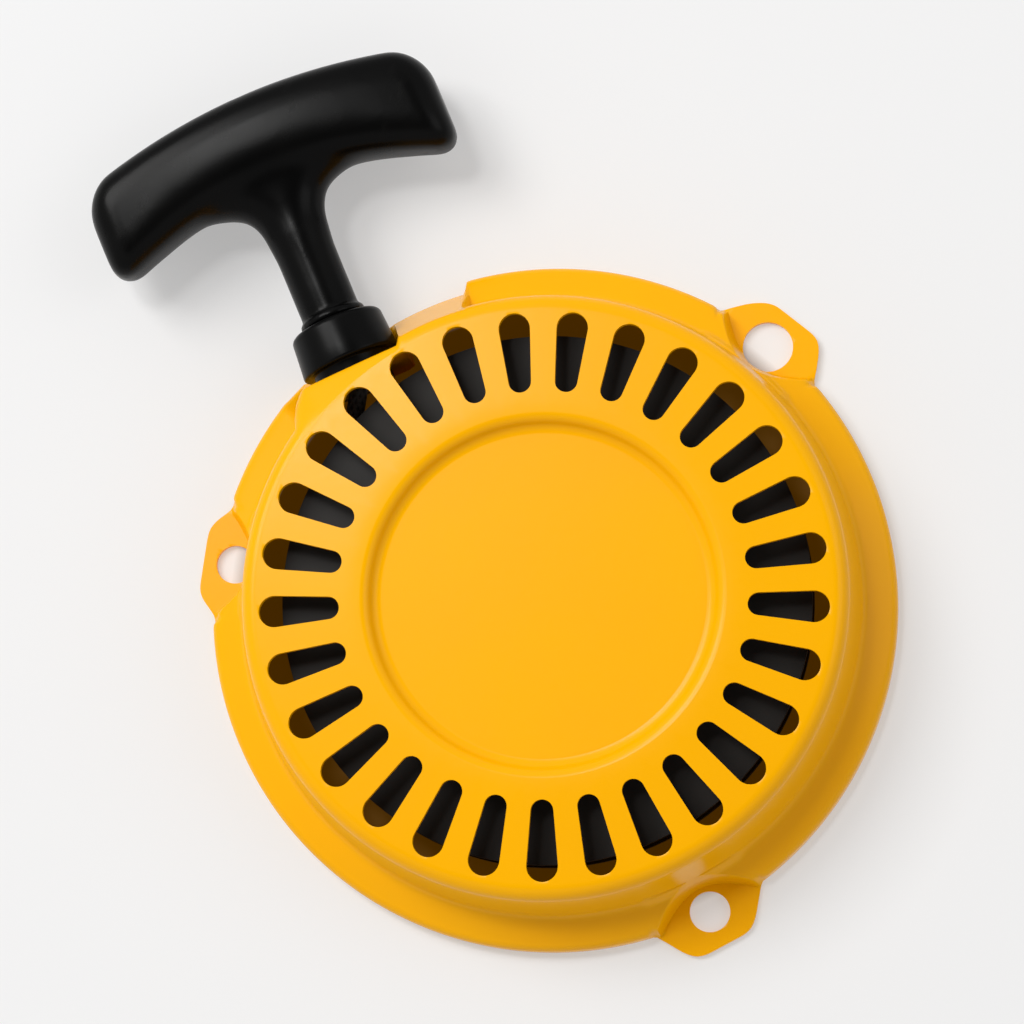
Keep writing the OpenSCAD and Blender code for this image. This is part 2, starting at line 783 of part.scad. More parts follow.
module friction_plate() {
    color("silver") translate([0, 0, plate_z]) linear_extrude(plate_t) difference() {
        circle(plate_r);
        circle(post_r + plate_gap);
        both_pawls() cam_slot();
    }
}

module friction_spring() {
    color("silver") coil(friction_coil_r, friction_wire_r, plate_z + plate_t + friction_wire_r + end_play / 2,
                         reel_z0 - friction_wire_r - end_play, 2.5);
}

module retaining_washer() {
    color("silver") translate([0, 0, post_z0 - washer_t]) difference() {
        cylinder(h = washer_t, r = washer_r);
        translate([0, 0, -cut]) cylinder(h = washer_t + 2 * cut, r = screw_r + screw_gap);
    }
}

module centre_screw() {
    head_z = post_z0 - washer_t - screw_head_h;
    color("silver") difference() {
        union() {
            translate([0, 0, head_z]) cylinder(h = screw_head_h, r = screw_head_r);
            translate([0, 0, head_z]) cylinder(h = screw_head_h + washer_t + screw_len - cut, r = screw_r);
        }
        translate([0, 0, head_z - cut]) cylinder(h = cut + socket_key_depth, r = socket_key_r, $fn = 6);
    }
}

// Corners of the grip at distance a from its middle
module grip_station(a) {
    part = abs(a) / (grip_w / 2 - grip_round);
    t = grip_t + (grip_end_t - grip_t) * part;
    u_mid = grip_top_u - grip_depth / 2 - grip_sweep * part * part;
    for (du = [-1, 1], dz = [-1, 1])
        translate([dz * (t / 2 - grip_round), a, u_mid + du * (grip_depth / 2 - grip_round)])
            sphere(grip_round, $fn = 20);
}

module grip_bar() {
    end_a = grip_w / 2 - grip_round;
    difference() {
        hull() for (part = [-1 : 0.25 : 1]) grip_station(part * end_a);
        translate([-grip_t, 0, grip_top_u - grip_depth - scoop_r])
            rotate([0, 90, 0]) cylinder(h = 2 * grip_t, r = scoop_r);
    }
}

module stem() {
    flare_u = grip_top_u - grip_depth + cut;
    intersection() {
        rotate_extrude() polygon(concat(
            [[0, stem_u0 - nose_len], [nose_r, stem_u0 - nose_len], [nose_r, stem_u0],
             [stem_foot_r, stem_u0], [stem_foot_r, stem_u0 + foot_h * 0.6], [stem_r, stem_u0 + foot_h]],
            arc([flare_at, flare_u - flare_r], flare_r, 170, 90),
            [[flare_at, flare_u + flare_depth], [0, flare_u + flare_depth]]
        ));
        translate([-grip_t / 2 + cut / 2, -grip_w / 2, 0]) cube([grip_t - cut, grip_w, grip_top_u]);
    }
}

module handle_grip() {
    color([0.07, 0.07, 0.08]) on_outlet() difference() {
        union() {
            grip_bar();
            stem();
        }
        cylinder(h = grip_top_u + cut, r = handle_bore_r);
        translate([0, 0, knot_u - insert_t]) cylinder(h = past, r = knot_pocket_r);
    }
}

module handle_insert() {
    color("silver") on_outlet(knot_u - insert_t) difference() {
        cylinder(h = insert_t, r = insert_r);
        translate([0, 0, -cut]) cylinder(h = insert_t + 2 * cut, r = rope_r + clip_gap);
    }
}

starter_housing();
reel_post();
recoil_spring();
thrust_washer();
rope_reel();
reel_bush();
rope_wound();
rope_reel_knot();
rope_run();
rope_guide();
guide_clip();
rope_eyelet();
pawl_pins();
pawl_a();
pawl_b();
pawl_springs();
friction_plate();
friction_spring();
retaining_washer();
centre_screw();
rope_tail();
handle_grip();
handle_insert();
rope_handle_knot();
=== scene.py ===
"""Looks of the recoil starter: pressed cover, rope guide, T-handle, rope and inner parts.

Lengths in the classes are in millimetres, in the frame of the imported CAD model, and turn
into metres where a mesh is placed.
"""

import logging
import math
from collections.abc import Sequence
from dataclasses import dataclass, field
from enum import Enum

import bpy
from mathutils import Matrix, Vector


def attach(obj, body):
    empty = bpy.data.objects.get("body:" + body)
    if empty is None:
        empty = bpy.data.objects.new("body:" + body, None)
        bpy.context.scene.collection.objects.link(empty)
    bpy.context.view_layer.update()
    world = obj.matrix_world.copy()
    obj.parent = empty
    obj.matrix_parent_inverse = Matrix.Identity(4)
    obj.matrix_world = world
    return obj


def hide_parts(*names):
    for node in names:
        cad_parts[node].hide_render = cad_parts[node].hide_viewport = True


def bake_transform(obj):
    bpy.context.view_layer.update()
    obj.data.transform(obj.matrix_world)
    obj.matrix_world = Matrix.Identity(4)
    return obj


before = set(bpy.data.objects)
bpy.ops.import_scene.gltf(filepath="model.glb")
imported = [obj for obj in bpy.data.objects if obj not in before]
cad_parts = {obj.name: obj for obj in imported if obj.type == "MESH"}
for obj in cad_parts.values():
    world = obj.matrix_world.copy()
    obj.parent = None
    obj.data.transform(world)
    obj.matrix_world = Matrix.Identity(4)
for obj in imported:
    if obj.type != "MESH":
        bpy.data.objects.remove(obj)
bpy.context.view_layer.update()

log = logging.getLogger("recoil_starter")

MM = 0.001
MERGE = 2e-6
HALF = 0.5
FLAT_ANGLE = 1.0
EDGE_ANGLE = 50.0
SHADE_ANGLE = 40.0

Colour = tuple[float, float, float]
Point = tuple[float, float]


def smooth(low: float, high: float, x: float) -> float:
    """Ease from 0 at low to 1 at high; low may be the larger of the two."""
    t = min(1.0, max(0.0, (x - low) / (high - low)))
    return t * t * (3 - 2 * t)


def lerp(a: Point, b: Point, t: float) -> Point:
    """The point part t of the way from a to b."""
    return (a[0] + (b[0] - a[0]) * t, a[1] + (b[1] - a[1]) * t)


def arc(centre: Point, r: float, start: float, end: float, steps: int) -> list[Point]:
    """Points along an arc.

    Args:
        centre: The arc's centre.
        r: Its radius.
        start: Angle of the first point, in degrees.
        end: Angle of the last point, in degrees.
        steps: Number of segments.

    Returns:
        steps + 1 points, both ends included.
    """
    angles = [math.radians(start + (end - start) * i / steps) for i in range(steps + 1)]
    return [(centre[0] + r * math.cos(a), centre[1] + r * math.sin(a)) for a in angles]


def along(a: Point, b: Point, steps: int) -> list[Point]:
    """The steps points that lead evenly from a to b, without a itself."""
    return [lerp(a, b, i / steps) for i in range(1, steps + 1)]


def bent(a: Point, corner: Point, b: Point, steps: int) -> list[Point]:
    """The steps points of a curve from a to b that is drawn towards corner, without a."""
    shares = [i / steps for i in range(1, steps + 1)]
    return [lerp(lerp(a, corner, t), lerp(corner, b, t), t) for t in shares]


# ---------------------------------------------------------------- shader expressions


class Value:
    """A shader output that Python arithmetic turns into Math nodes."""

    def __init__(self, graph: "Tree", socket: bpy.types.NodeSocket) -> None:
        """Wraps socket, an output of a node in graph."""
        self.graph = graph
        self.socket = socket

    def _math(self, operation: str, first: "Entry", second: "Entry" = 0.0) -> "Value":
        """The result of one Math node on first and second."""
        node = self.graph.node("ShaderNodeMath", {"operation": operation}, {0: first, 1: second})
        return Value(self.graph, node.outputs[0])

    def __add__(self, other: "Entry") -> "Value":
        """self + other."""
        return self._math("ADD", self, other)

    __radd__ = __add__

    def __sub__(self, other: "Entry") -> "Value":
        """self - other."""
        return self._math("SUBTRACT", self, other)

    def __rsub__(self, other: "Entry") -> "Value":
        """other - self."""
        return self._math("SUBTRACT", other, self)

    def __mul__(self, other: "Entry") -> "Value":
        """self * other."""
        return self._math("MULTIPLY", self, other)

    __rmul__ = __mul__

    def sine(self) -> "Value":
        """The sine of self, in radians."""
        return self._math("SINE", self)

    def angle_to(self, other: "Entry") -> "Value":
        """The angle whose tangent is self over other."""
        return self._math("ARCTAN2", self, other)

    def over(self, limit: float) -> "Value":
        """1 where self is greater than limit, otherwise 0."""
        return self._math("GREATER_THAN", self, limit)

    def highest(self, other: "Entry") -> "Value":
        """The larger of self and other."""
        return self._math("MAXIMUM", self, other)


Entry = float | int | Sequence[float] | Value | bpy.types.NodeSocket


class Tree:
    """A node tree that is filled through one method."""

    def __init__(self, tree: bpy.types.NodeTree) -> None:
        """Empties tree and keeps it."""
        self.tree = tree
        self.tree.nodes.clear()

    def node(
        self, kind: str, settings: dict | None = None, sockets: dict | None = None
    ) -> bpy.types.Node:
        """Adds a node.

        Args:
            kind: The node's type.
            settings: Properties set before anything is linked.
            sockets: Constants or links by socket name or number.

        Returns:
            The new node.
        """
        made = self.tree.nodes.new(kind)
        for key, value in (settings or {}).items():
            setattr(made, key, value)
        for key, value in (sockets or {}).items():
            self.feed(made.inputs[key], value)
        return made

    def feed(self, socket: bpy.types.NodeSocket, value: Entry) -> None:
        """Links value to socket, or sets it there when it is a constant.

        Args:
            socket: The input to fill.
            value: A constant, or the output that is linked to it.
        """
        if isinstance(value, Value):
            value = value.socket
        if isinstance(value, bpy.types.NodeSocket):
            self.tree.links.new(value, socket)
        elif isinstance(value, (int, float)):
            socket.default_value = value
        else:
            socket.default_value = (*value, 1.0) if len(socket.default_value) == 4 else value

    def ramp(self, value: Entry, low: float, high: float) -> Value:
        """Value stretched so that low becomes 0 and high becomes 1, clamped."""
        span = {"Value": value, "From Min": low, "From Max": high}
        return Value(self, self.node("ShaderNodeMapRange", {"clamp": True}, span).outputs[0])


class Graph(Tree):
    """One material's node tree around a Principled shader."""

    def __init__(self, name: str) -> None:
        """Makes an empty material called name.

        Args:
            name: The material's name.
        """
        self.material = bpy.data.materials.new(name)
        self.material.use_nodes = True
        super().__init__(self.material.node_tree)
        self.shader = self.node("ShaderNodeBsdfPrincipled")
        self.node("ShaderNodeOutputMaterial", {}, {"Surface": self.shader.outputs[0]})

    def set(self, **inputs: Entry) -> None:
        """Feeds the shader's inputs; an underscore in a name stands for a space."""
        for name, value in inputs.items():
            self.feed(self.shader.inputs[name.replace("_", " ")], value)

    def place(self, scale: Sequence[float] = (1, 1, 1), turn: float = 0.0) -> Entry:
        """Object coordinates, turned about Z by turn degrees and then scaled.

        Args:
            scale: Factor on each axis.
            turn: Angle about Z, in degrees.

        Returns:
            The coordinates.
        """
        here = self.node("ShaderNodeTexCoord").outputs["Object"]
        if turn == 0.0 and tuple(scale) == (1, 1, 1):
            return here
        angle = math.radians(turn)
        turned = self.node("ShaderNodeMapping", {}, {"Vector": here, "Rotation": (0.0, 0.0, angle)})
        back = {"Vector": turned.outputs[0], "Scale": scale}
        return self.node("ShaderNodeMapping", {}, back).outputs[0]

    def noise(self, scale: float, detail: float, at: Entry | None = None) -> Value:
        """Noise between 0 and 1.

        Args:
            scale: Cells per metre.
            detail: Octaves of finer noise.
            at: Where to read it; Object coordinates if left out.

        Returns:
            The noise as a value.
        """
        look = {"Vector": at or self.place(), "Scale": scale, "Detail": detail}
        return Value(self, self.node("ShaderNodeTexNoise", {}, look).outputs[0])

    def mix(self, factor: Entry, first: Entry, second: Entry) -> Entry:
        """A colour between first and second."""
        ends = {"Factor": factor, 6: first, 7: second}
        return self.node("ShaderNodeMix", {"data_type": "RGBA"}, ends).outputs[2]

    def bump(self, height: Entry, depth_mm: float, strength: float) -> Entry:
        """A normal from height, whose full range stands for depth_mm."""
        relief = {"Height": height, "Distance": depth_mm * MM, "Strength": strength}
        return self.node("ShaderNodeBump", {}, relief).outputs[0]


# ---------------------------------------------------------------- finishes


@dataclass(frozen=True)
class PowderCoat:
    """Satin powder coat with a faint orange peel."""

    name: str = "yellow_powder_coat"
    colour: Colour = (0.93, 0.435, 0.0)
    shade: Colour = (0.89, 0.395, 0.0)
    roughness: float = 0.24
    gloss: float = 0.15
    cloud_scale: float = 22.0
    cloud_span: Point = (0.35, 0.7)
    cloud_share: float = 0.55
    cloud_matt: float = 0.08
    fine_scale: float = 900.0
    fine_matt: float = 0.05
    fine_height: float = 0.35
    peel_scale: float = 420.0
    peel_mm: float = 0.012
    peel_strength: float = 0.55

    def build(self) -> bpy.types.Material:
        """The finish as a material.

        Returns:
            The material.
        """
        g = Graph(self.name)
        cloud = g.noise(self.cloud_scale, 3)
        fine = g.noise(self.fine_scale, 2)
        peel = g.noise(self.peel_scale, 2)
        shaded = g.ramp(cloud, *self.cloud_span) * self.cloud_share
        uneven = self.cloud_matt * (cloud - HALF) + self.fine_matt * (fine - HALF)
        g.set(
            Base_Color=g.mix(shaded, self.colour, self.shade),
            Roughness=self.roughness + uneven,
            Specular_IOR_Level=self.gloss,
            Normal=g.bump(peel + self.fine_height * fine, self.peel_mm, self.peel_strength),
        )
        return g.material


@dataclass(frozen=True)
class MouldedPlastic:
    """Moulded plastic with fine grain, faint scuffs and a slightly uneven gloss."""

    name: str
    colour: Colour
    worn: Colour
    roughness: float
    grain_mm: float = 0.006
    gloss: float = 0.09
    grain_scale: float = 1500.0
    grain_strength: float = 0.6
    flow_scale: float = 60.0
    flow_span: Point = (0.4, 0.75)
    flow_share: float = 0.4
    flow_matt: float = 0.1
    flow_height: float = 0.6
    scuff_scale: float = 240.0
    scuff_stretch: tuple[float, float, float] = (1.0, 0.25, 1.0)
    scuff_turn: float = 21.5
    scuff_span: Point = (0.62, 0.8)
    scuff_share: float = 0.35
    scuff_matt: float = 0.12

    def build(self) -> bpy.types.Material:
        """The finish as a material.

        Returns:
            The material.
        """
        g = Graph(self.name)
        grain = g.noise(self.grain_scale, 2)
        flow = g.noise(self.flow_scale, 4)
        lay = g.place(self.scuff_stretch, self.scuff_turn)
        scuff = g.ramp(g.noise(self.scuff_scale, 6, lay), *self.scuff_span)
        worn = self.scuff_share * scuff + self.flow_share * g.ramp(flow, *self.flow_span)
        matt = self.flow_matt * (flow - HALF) + self.scuff_matt * scuff
        g.set(
            Base_Color=g.mix(worn, self.colour, self.worn),
            Roughness=self.roughness + matt,
            Specular_IOR_Level=self.gloss,
            Normal=g.bump(grain + self.flow_height * flow, self.grain_mm, self.grain_strength),
        )
        return g.material


@dataclass(frozen=True)
class PlatedSteel:
    """Steel with a thin plating: faint turning marks and cloudy tarnish."""

    name: str
    colour: Colour
    tarnish: Colour
    roughness: float = 0.3
    cloud_scale: float = 90.0
    cloud_span: Point = (0.42, 0.72)
    cloud_matt: Point = (0.18, 0.4)
    speck_scale: float = 1400.0
    speck_matt: float = 0.06
    marks_scale: float = 700.0
    marks_waver: float = 1.2
    marks_height: float = 0.7
    speck_height: float = 0.3
    marks_mm: float = 0.004
    marks_strength: float = 0.35

    def build(self) -> bpy.types.Material:
        """The finish as a material.

        Returns:
            The material.
        """
        g = Graph(self.name)
        cloud = g.noise(self.cloud_scale, 5)
        speck = g.noise(self.speck_scale, 2)
        waves = g.node(
            "ShaderNodeTexWave",
            {"wave_type": "RINGS", "rings_direction": "Z"},
            {
                "Vector": g.place(),
                "Scale": self.marks_scale,
                "Distortion": self.marks_waver,
                "Detail": 2.0,
            },
        )
        marks = Value(g, waves.outputs["Fac"])
        share, middle = self.cloud_matt
        uneven = share * (cloud - middle)
        height = self.marks_height * marks + self.speck_height * speck
        g.set(
            Base_Color=g.mix(g.ramp(cloud, *self.cloud_span), self.colour, self.tarnish),
            Metallic=1.0,
            Roughness=self.roughness + uneven + self.speck_matt * (speck - HALF),
            Normal=g.bump(height, self.marks_mm, self.marks_strength),
        )
        return g.material


@dataclass(frozen=True)
class SinteredBronze:
    """Porous, oil-soaked sintered bronze."""

    name: str = "sintered_bronze"
    colour: Colour = (0.52, 0.33, 0.15)
    pore: Colour = (0.16, 0.09, 0.04)
    pore_scale: float = 2600.0
    pore_span: Point = (0.58, 0.68)
    roughness: float = 0.38
    pore_matt: float = 0.3
    pore_mm: float = 0.02
    pore_strength: float = 0.5

    def build(self) -> bpy.types.Material:
        """The finish as a material.

        Returns:
            The material.
        """
        g = Graph(self.name)
        pores = g.ramp(g.noise(self.pore_scale, 3), *self.pore_span)
        g.set(
            Base_Color=g.mix(pores, self.colour, self.pore),
            Metallic=1.0,
            Roughness=self.roughness + self.pore_matt * pores,
            Normal=g.bump(1.0 - pores, self.pore_mm, self.pore_strength),
        )
        return g.material


class Lay(Enum):
    """How a rope's braid finds its way along the rope."""

    BY_UV = "uv"
    ALONG_OUTLET = "outlet"


@dataclass(frozen=True)
class BraidedRope:
    """Round braid of nylon yarns crossing in two directions."""

    name: str
    lay: Lay
    colour: Colour = (0.045, 0.043, 0.040)
    gap: Colour = (0.008, 0.008, 0.008)
    fleck: Colour = (0.30, 0.28, 0.24)
    yarns: int = 8
    pitch_mm: float = 11.0
    roughness: float = 0.85
    fibre_scale: float = 3200.0
    fibre_matt: float = 0.1
    fibre_height: float = 0.3
    fray: float = 0.25
    fleck_span: Point = (0.9, 0.97)
    gap_span: Point = (0.1, 0.6)
    over_height: float = 0.25
    braid_mm: float = 0.35
    braid_strength: float = 0.8

    def _along_and_around(self, g: Graph, line: "OutletLine") -> tuple[Value, Value]:
        """Distance along the rope in metres, and the angle round it in radians.

        Args:
            g: The material's graph.
            line: The outlet line, which a rope with no UV map follows.

        Returns:
            The distance and the angle.
        """
        if self.lay is Lay.BY_UV:
            where = g.node("ShaderNodeUVMap").outputs[0]
            uv = g.node("ShaderNodeSeparateXYZ", {}, {0: where})
            return Value(g, uv.outputs[0]), Value(g, uv.outputs[1]) * math.tau
        here = g.node("ShaderNodeSeparateXYZ", {}, {0: g.place((1, 1, 1), -line.azimuth)})
        x, y, z = (Value(g, socket) for socket in here.outputs)
        return x, (z - line.height * MM).angle_to(y - line.offset * MM)

    def build(self, line: "OutletLine") -> bpy.types.Material:
        """The finish as a material.

        Args:
            line: The outlet line, which a rope with no UV map follows.

        Returns:
            The material.
        """
        g = Graph(self.name)
        along, around = self._along_and_around(g, line)
        run = along * (math.tau / (self.pitch_mm * MM))
        half = self.yarns / 2
        left = (half * around + run * half * HALF).sine()
        right = (half * around - run * half * HALF).sine()
        weave = (left * left).highest(right * right)
        over = (left * right).over(0.0)
        fibre = g.noise(self.fibre_scale, 3)
        marked = g.ramp((around + run * HALF).sine(), *self.fleck_span)
        yarn = g.mix(marked, self.colour, self.fleck)
        bare = g.ramp(weave + self.fray * (fibre - HALF), *self.gap_span)
        height = weave + self.over_height * over + self.fibre_height * fibre
        g.set(
            Base_Color=g.mix(bare, self.gap, yarn),
            Roughness=self.roughness + self.fibre_matt * (fibre - HALF),
            Normal=g.bump(height, self.braid_mm, self.braid_strength),
        )
        return g.material


@dataclass(frozen=True)
class Backdrop:
    """Smooth, pale, matt paper with a lift of its own; under the housing a painted brown shade patch
    with a faint painted glow.
    """

    name: str = "pale_paper"
    colour: Colour = (0.48, 0.48, 0.483)
    # near and the colour after it: painted shade under the housing, a dark brown patch with a faint
    # brown painted glow, standing for the shaded inside seen through the slots.
    near: Colour = (0.13, 0.07, 0.02)
    painted_glow_under_housing: Colour = (0.13, 0.05, 0.0)
    lift: float = 0.36
    painted_shade_edge: Point = (0.066, 0.072)
    white: Colour = (1.0, 1.0, 1.0)
    roughness: float = 0.9
    gloss: float = 0.1

    def build(self) -> bpy.types.Material:
        """The finish as a material.

        Returns:
            The material.
        """
        g = Graph(self.name)
        here = g.node("ShaderNodeTexCoord").outputs["Object"]
        away = g.node("ShaderNodeVectorMath", {"operation": "LENGTH"}, {0: here})
        # 0 inside the rim, where the painted shade patch and its painted glow lie; 1 on the evenly
        # lit floor outside.
        lit = g.ramp(away.outputs["Value"], *self.painted_shade_edge)
        g.set(
            Base_Color=g.mix(lit, self.near, self.colour),
            Roughness=self.roughness,
            Specular_IOR_Level=self.gloss,
            Emission_Color=g.mix(lit, self.painted_glow_under_housing, self.white),
            Emission_Strength=self.lift,
        )
        return g.material


# ---------------------------------------------------------------- modelling


def pick(obj: bpy.types.Object) -> None:
    """Deselects everything and makes obj the only selected, active object.

    Args:
        obj: The object to select.
    """
    if bpy.context.object and bpy.context.object.mode != "OBJECT":
        bpy.ops.object.mode_set(mode="OBJECT")
    bpy.ops.object.select_all(action="DESELECT")
    obj.select_set(True)
    bpy.context.view_layer.objects.active = obj


def tidy(obj: bpy.types.Object, merge: float = MERGE, outward: bool = True) -> None:
    """Merges a mesh's doubles and turns its faces outward.

    Args:
        obj: The object whose mesh is cleaned.
        merge: How far apart doubles may be, in metres.
        outward: Whether the faces are turned.
    """
    pick(obj)
    bpy.ops.object.mode_set(mode="EDIT")
    bpy.ops.mesh.select_all(action="SELECT")
    bpy.ops.mesh.remove_doubles(threshold=merge)
    if outward:
        bpy.ops.mesh.normals_make_consistent(inside=False)
    bpy.ops.object.mode_set(mode="OBJECT")


def wrapped(name: str, rows: Sequence[Sequence[Vector]], capped: bool = False) -> bpy.types.Object:
    """A grid primitive laid over rows of points.

    Args:
        name: Name of the new object.
        rows: Rows of the same length, in metres; rows that close repeat their first point.
        capped: Whether the first and last rows are closed with a face.

    Returns:
        The object, with its doubles merged and its faces outward.
    """
    across, down = len(rows[0]), len(rows)
    bpy.ops.object.select_all(action="DESELECT")
    bpy.ops.mesh.primitive_grid_add(x_subdivisions=across - 1, y_subdivisions=down - 1, size=2)
    obj = bpy.context.object
    obj.name = name
    for vertex in obj.data.vertices:
        column = round((vertex.co.x + 1) / 2 * (across - 1))
        row = round((vertex.co.y + 1) / 2 * (down - 1))
        vertex.co = rows[row][column]
    if capped:
        bpy.ops.object.mode_set(mode="EDIT")
        bpy.ops.mesh.select_all(action="SELECT")
        bpy.ops.mesh.remove_doubles(threshold=MERGE)
        bpy.ops.mesh.select_all(action="DESELECT")
        bpy.ops.mesh.select_non_manifold(extend=False)
        bpy.ops.mesh.edge_face_add()
        bpy.ops.object.mode_set(mode="OBJECT")
    tidy(obj)
    return obj


def joined(name: str, parts: Sequence[bpy.types.Object]) -> bpy.types.Object:
    """Joins parts into one object called name.

    Args:
        name: The joined object's name.
        parts: The objects to join, the first of which is kept.

    Returns:
        The object.
    """
    pick(parts[0])
    for part in parts:
        part.select_set(True)
    bpy.ops.object.join()
    bpy.context.object.name = name
    return bpy.context.object


def finished(obj: bpy.types.Object, *modifiers: tuple[str, dict]) -> None:
    """Adds each modifier to obj with its settings and applies it.

    Args:
        obj: The object to change.
        modifiers: The type and the settings of each modifier, in order.
    """
    pick(obj)
    for kind, settings in modifiers:
        modifier = obj.modifiers.new(kind.lower(), kind)
        for key, value in settings.items():
            setattr(modifier, key, value)
        bpy.ops.object.modifier_apply(modifier=modifier.name)


def bevel(width_mm: float, angle: float) -> tuple[str, dict]:
    """A two-step bevel of edges sharper than angle degrees, for finished().

    Args:
        width_mm: Width of the bevel.
        angle: Edges sharper than this are bevelled, in degrees.

    Returns:
        The modifier's type and settings.
    """
    settings = {
        "width": width_mm * MM,
        "segments": 2,
        "limit_method": "ANGLE",
        "angle_limit": math.radians(angle),
        "use_clamp_overlap": True,
    }
    return "BEVEL", settings


def combine(obj: bpy.types.Object, operation: str, other: bpy.types.Object) -> None:
    """Adds other to obj, or cuts it out of obj, and removes other.

    Args:
        obj: The object to change.
        operation: "UNION" or "DIFFERENCE".
        other: The object that is used up.
    """
    settings = {"operation": operation, "object": other, "solver": "EXACT"}
    finished(obj, ("BOOLEAN", settings))
    bpy.data.objects.remove(other)


def shade(obj: bpy.types.Object, angle: float) -> None:
    """Shades obj smooth except across edges sharper than angle degrees."""
    pick(obj)
    bpy.ops.object.shade_smooth_by_angle(angle=math.radians(angle))


def dress(obj: bpy.types.Object, material: bpy.types.Material) -> None:
    """Gives obj material as its only finish."""
    obj.data.materials.clear()
    obj.data.materials.append(material)


def softened(node: str, width_mm: float) -> bpy.types.Object:
    """A copy of a CAD node with its sharp edges bevelled.

    Args:
        node: The CAD node's name.
        width_mm: Width of the bevels.

    Returns:
        The copy, which still has to ride on a body.
    """
    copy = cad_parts[node].copy()
    copy.data = copy.data.copy()
    copy.name = f"{node}_soft"
    copy.parent = None
    copy.matrix_world = Matrix.Identity(4)
    bpy.context.scene.collection.objects.link(copy)
    tidy(copy, outward=False)
    bpy.ops.object.mode_set(mode="EDIT")
    bpy.ops.mesh.select_all(action="SELECT")
    bpy.ops.mesh.dissolve_limited(angle_limit=math.radians(FLAT_ANGLE))
    bpy.ops.object.mode_set(mode="OBJECT")
    finished(copy, bevel(width_mm, EDGE_ANGLE))
    shade(copy, SHADE_ANGLE)
    return copy


@dataclass(frozen=True)
class OutletLine:
    """The straight line along which the rope leaves the housing."""

    azimuth: float = 111.5
    offset: float = 19.7
    height: float = 14.0

    def at(self, u: float, v: float = 0.0, z: float = 0.0) -> Vector:
        """A place u along the line, v sideways of it and z above it, in metres.

        Args:
            u: Distance along the line from its nearest point to the middle.
            v: Distance sideways of the line.
            z: Height above the line.

        Returns:
            The place.
        """
        a = math.radians(self.azimuth)
        side = self.offset + v
        x = u * math.cos(a) - side * math.sin(a)
        y = u * math.sin(a) + side * math.cos(a)
        return Vector((x, y, self.height + z)) * MM

    def ring(self, u: float, wide: float, high: float, sides: int = 48) -> list[Vector]:
        """An oval round the line at u, whose last point repeats its first."""
        turns = [math.tau * (i % sides) / sides for i in range(sides + 1)]
        return [self.at(u, wide * math.cos(t), high * math.sin(t)) for t in turns]


# ---------------------------------------------------------------- the cover


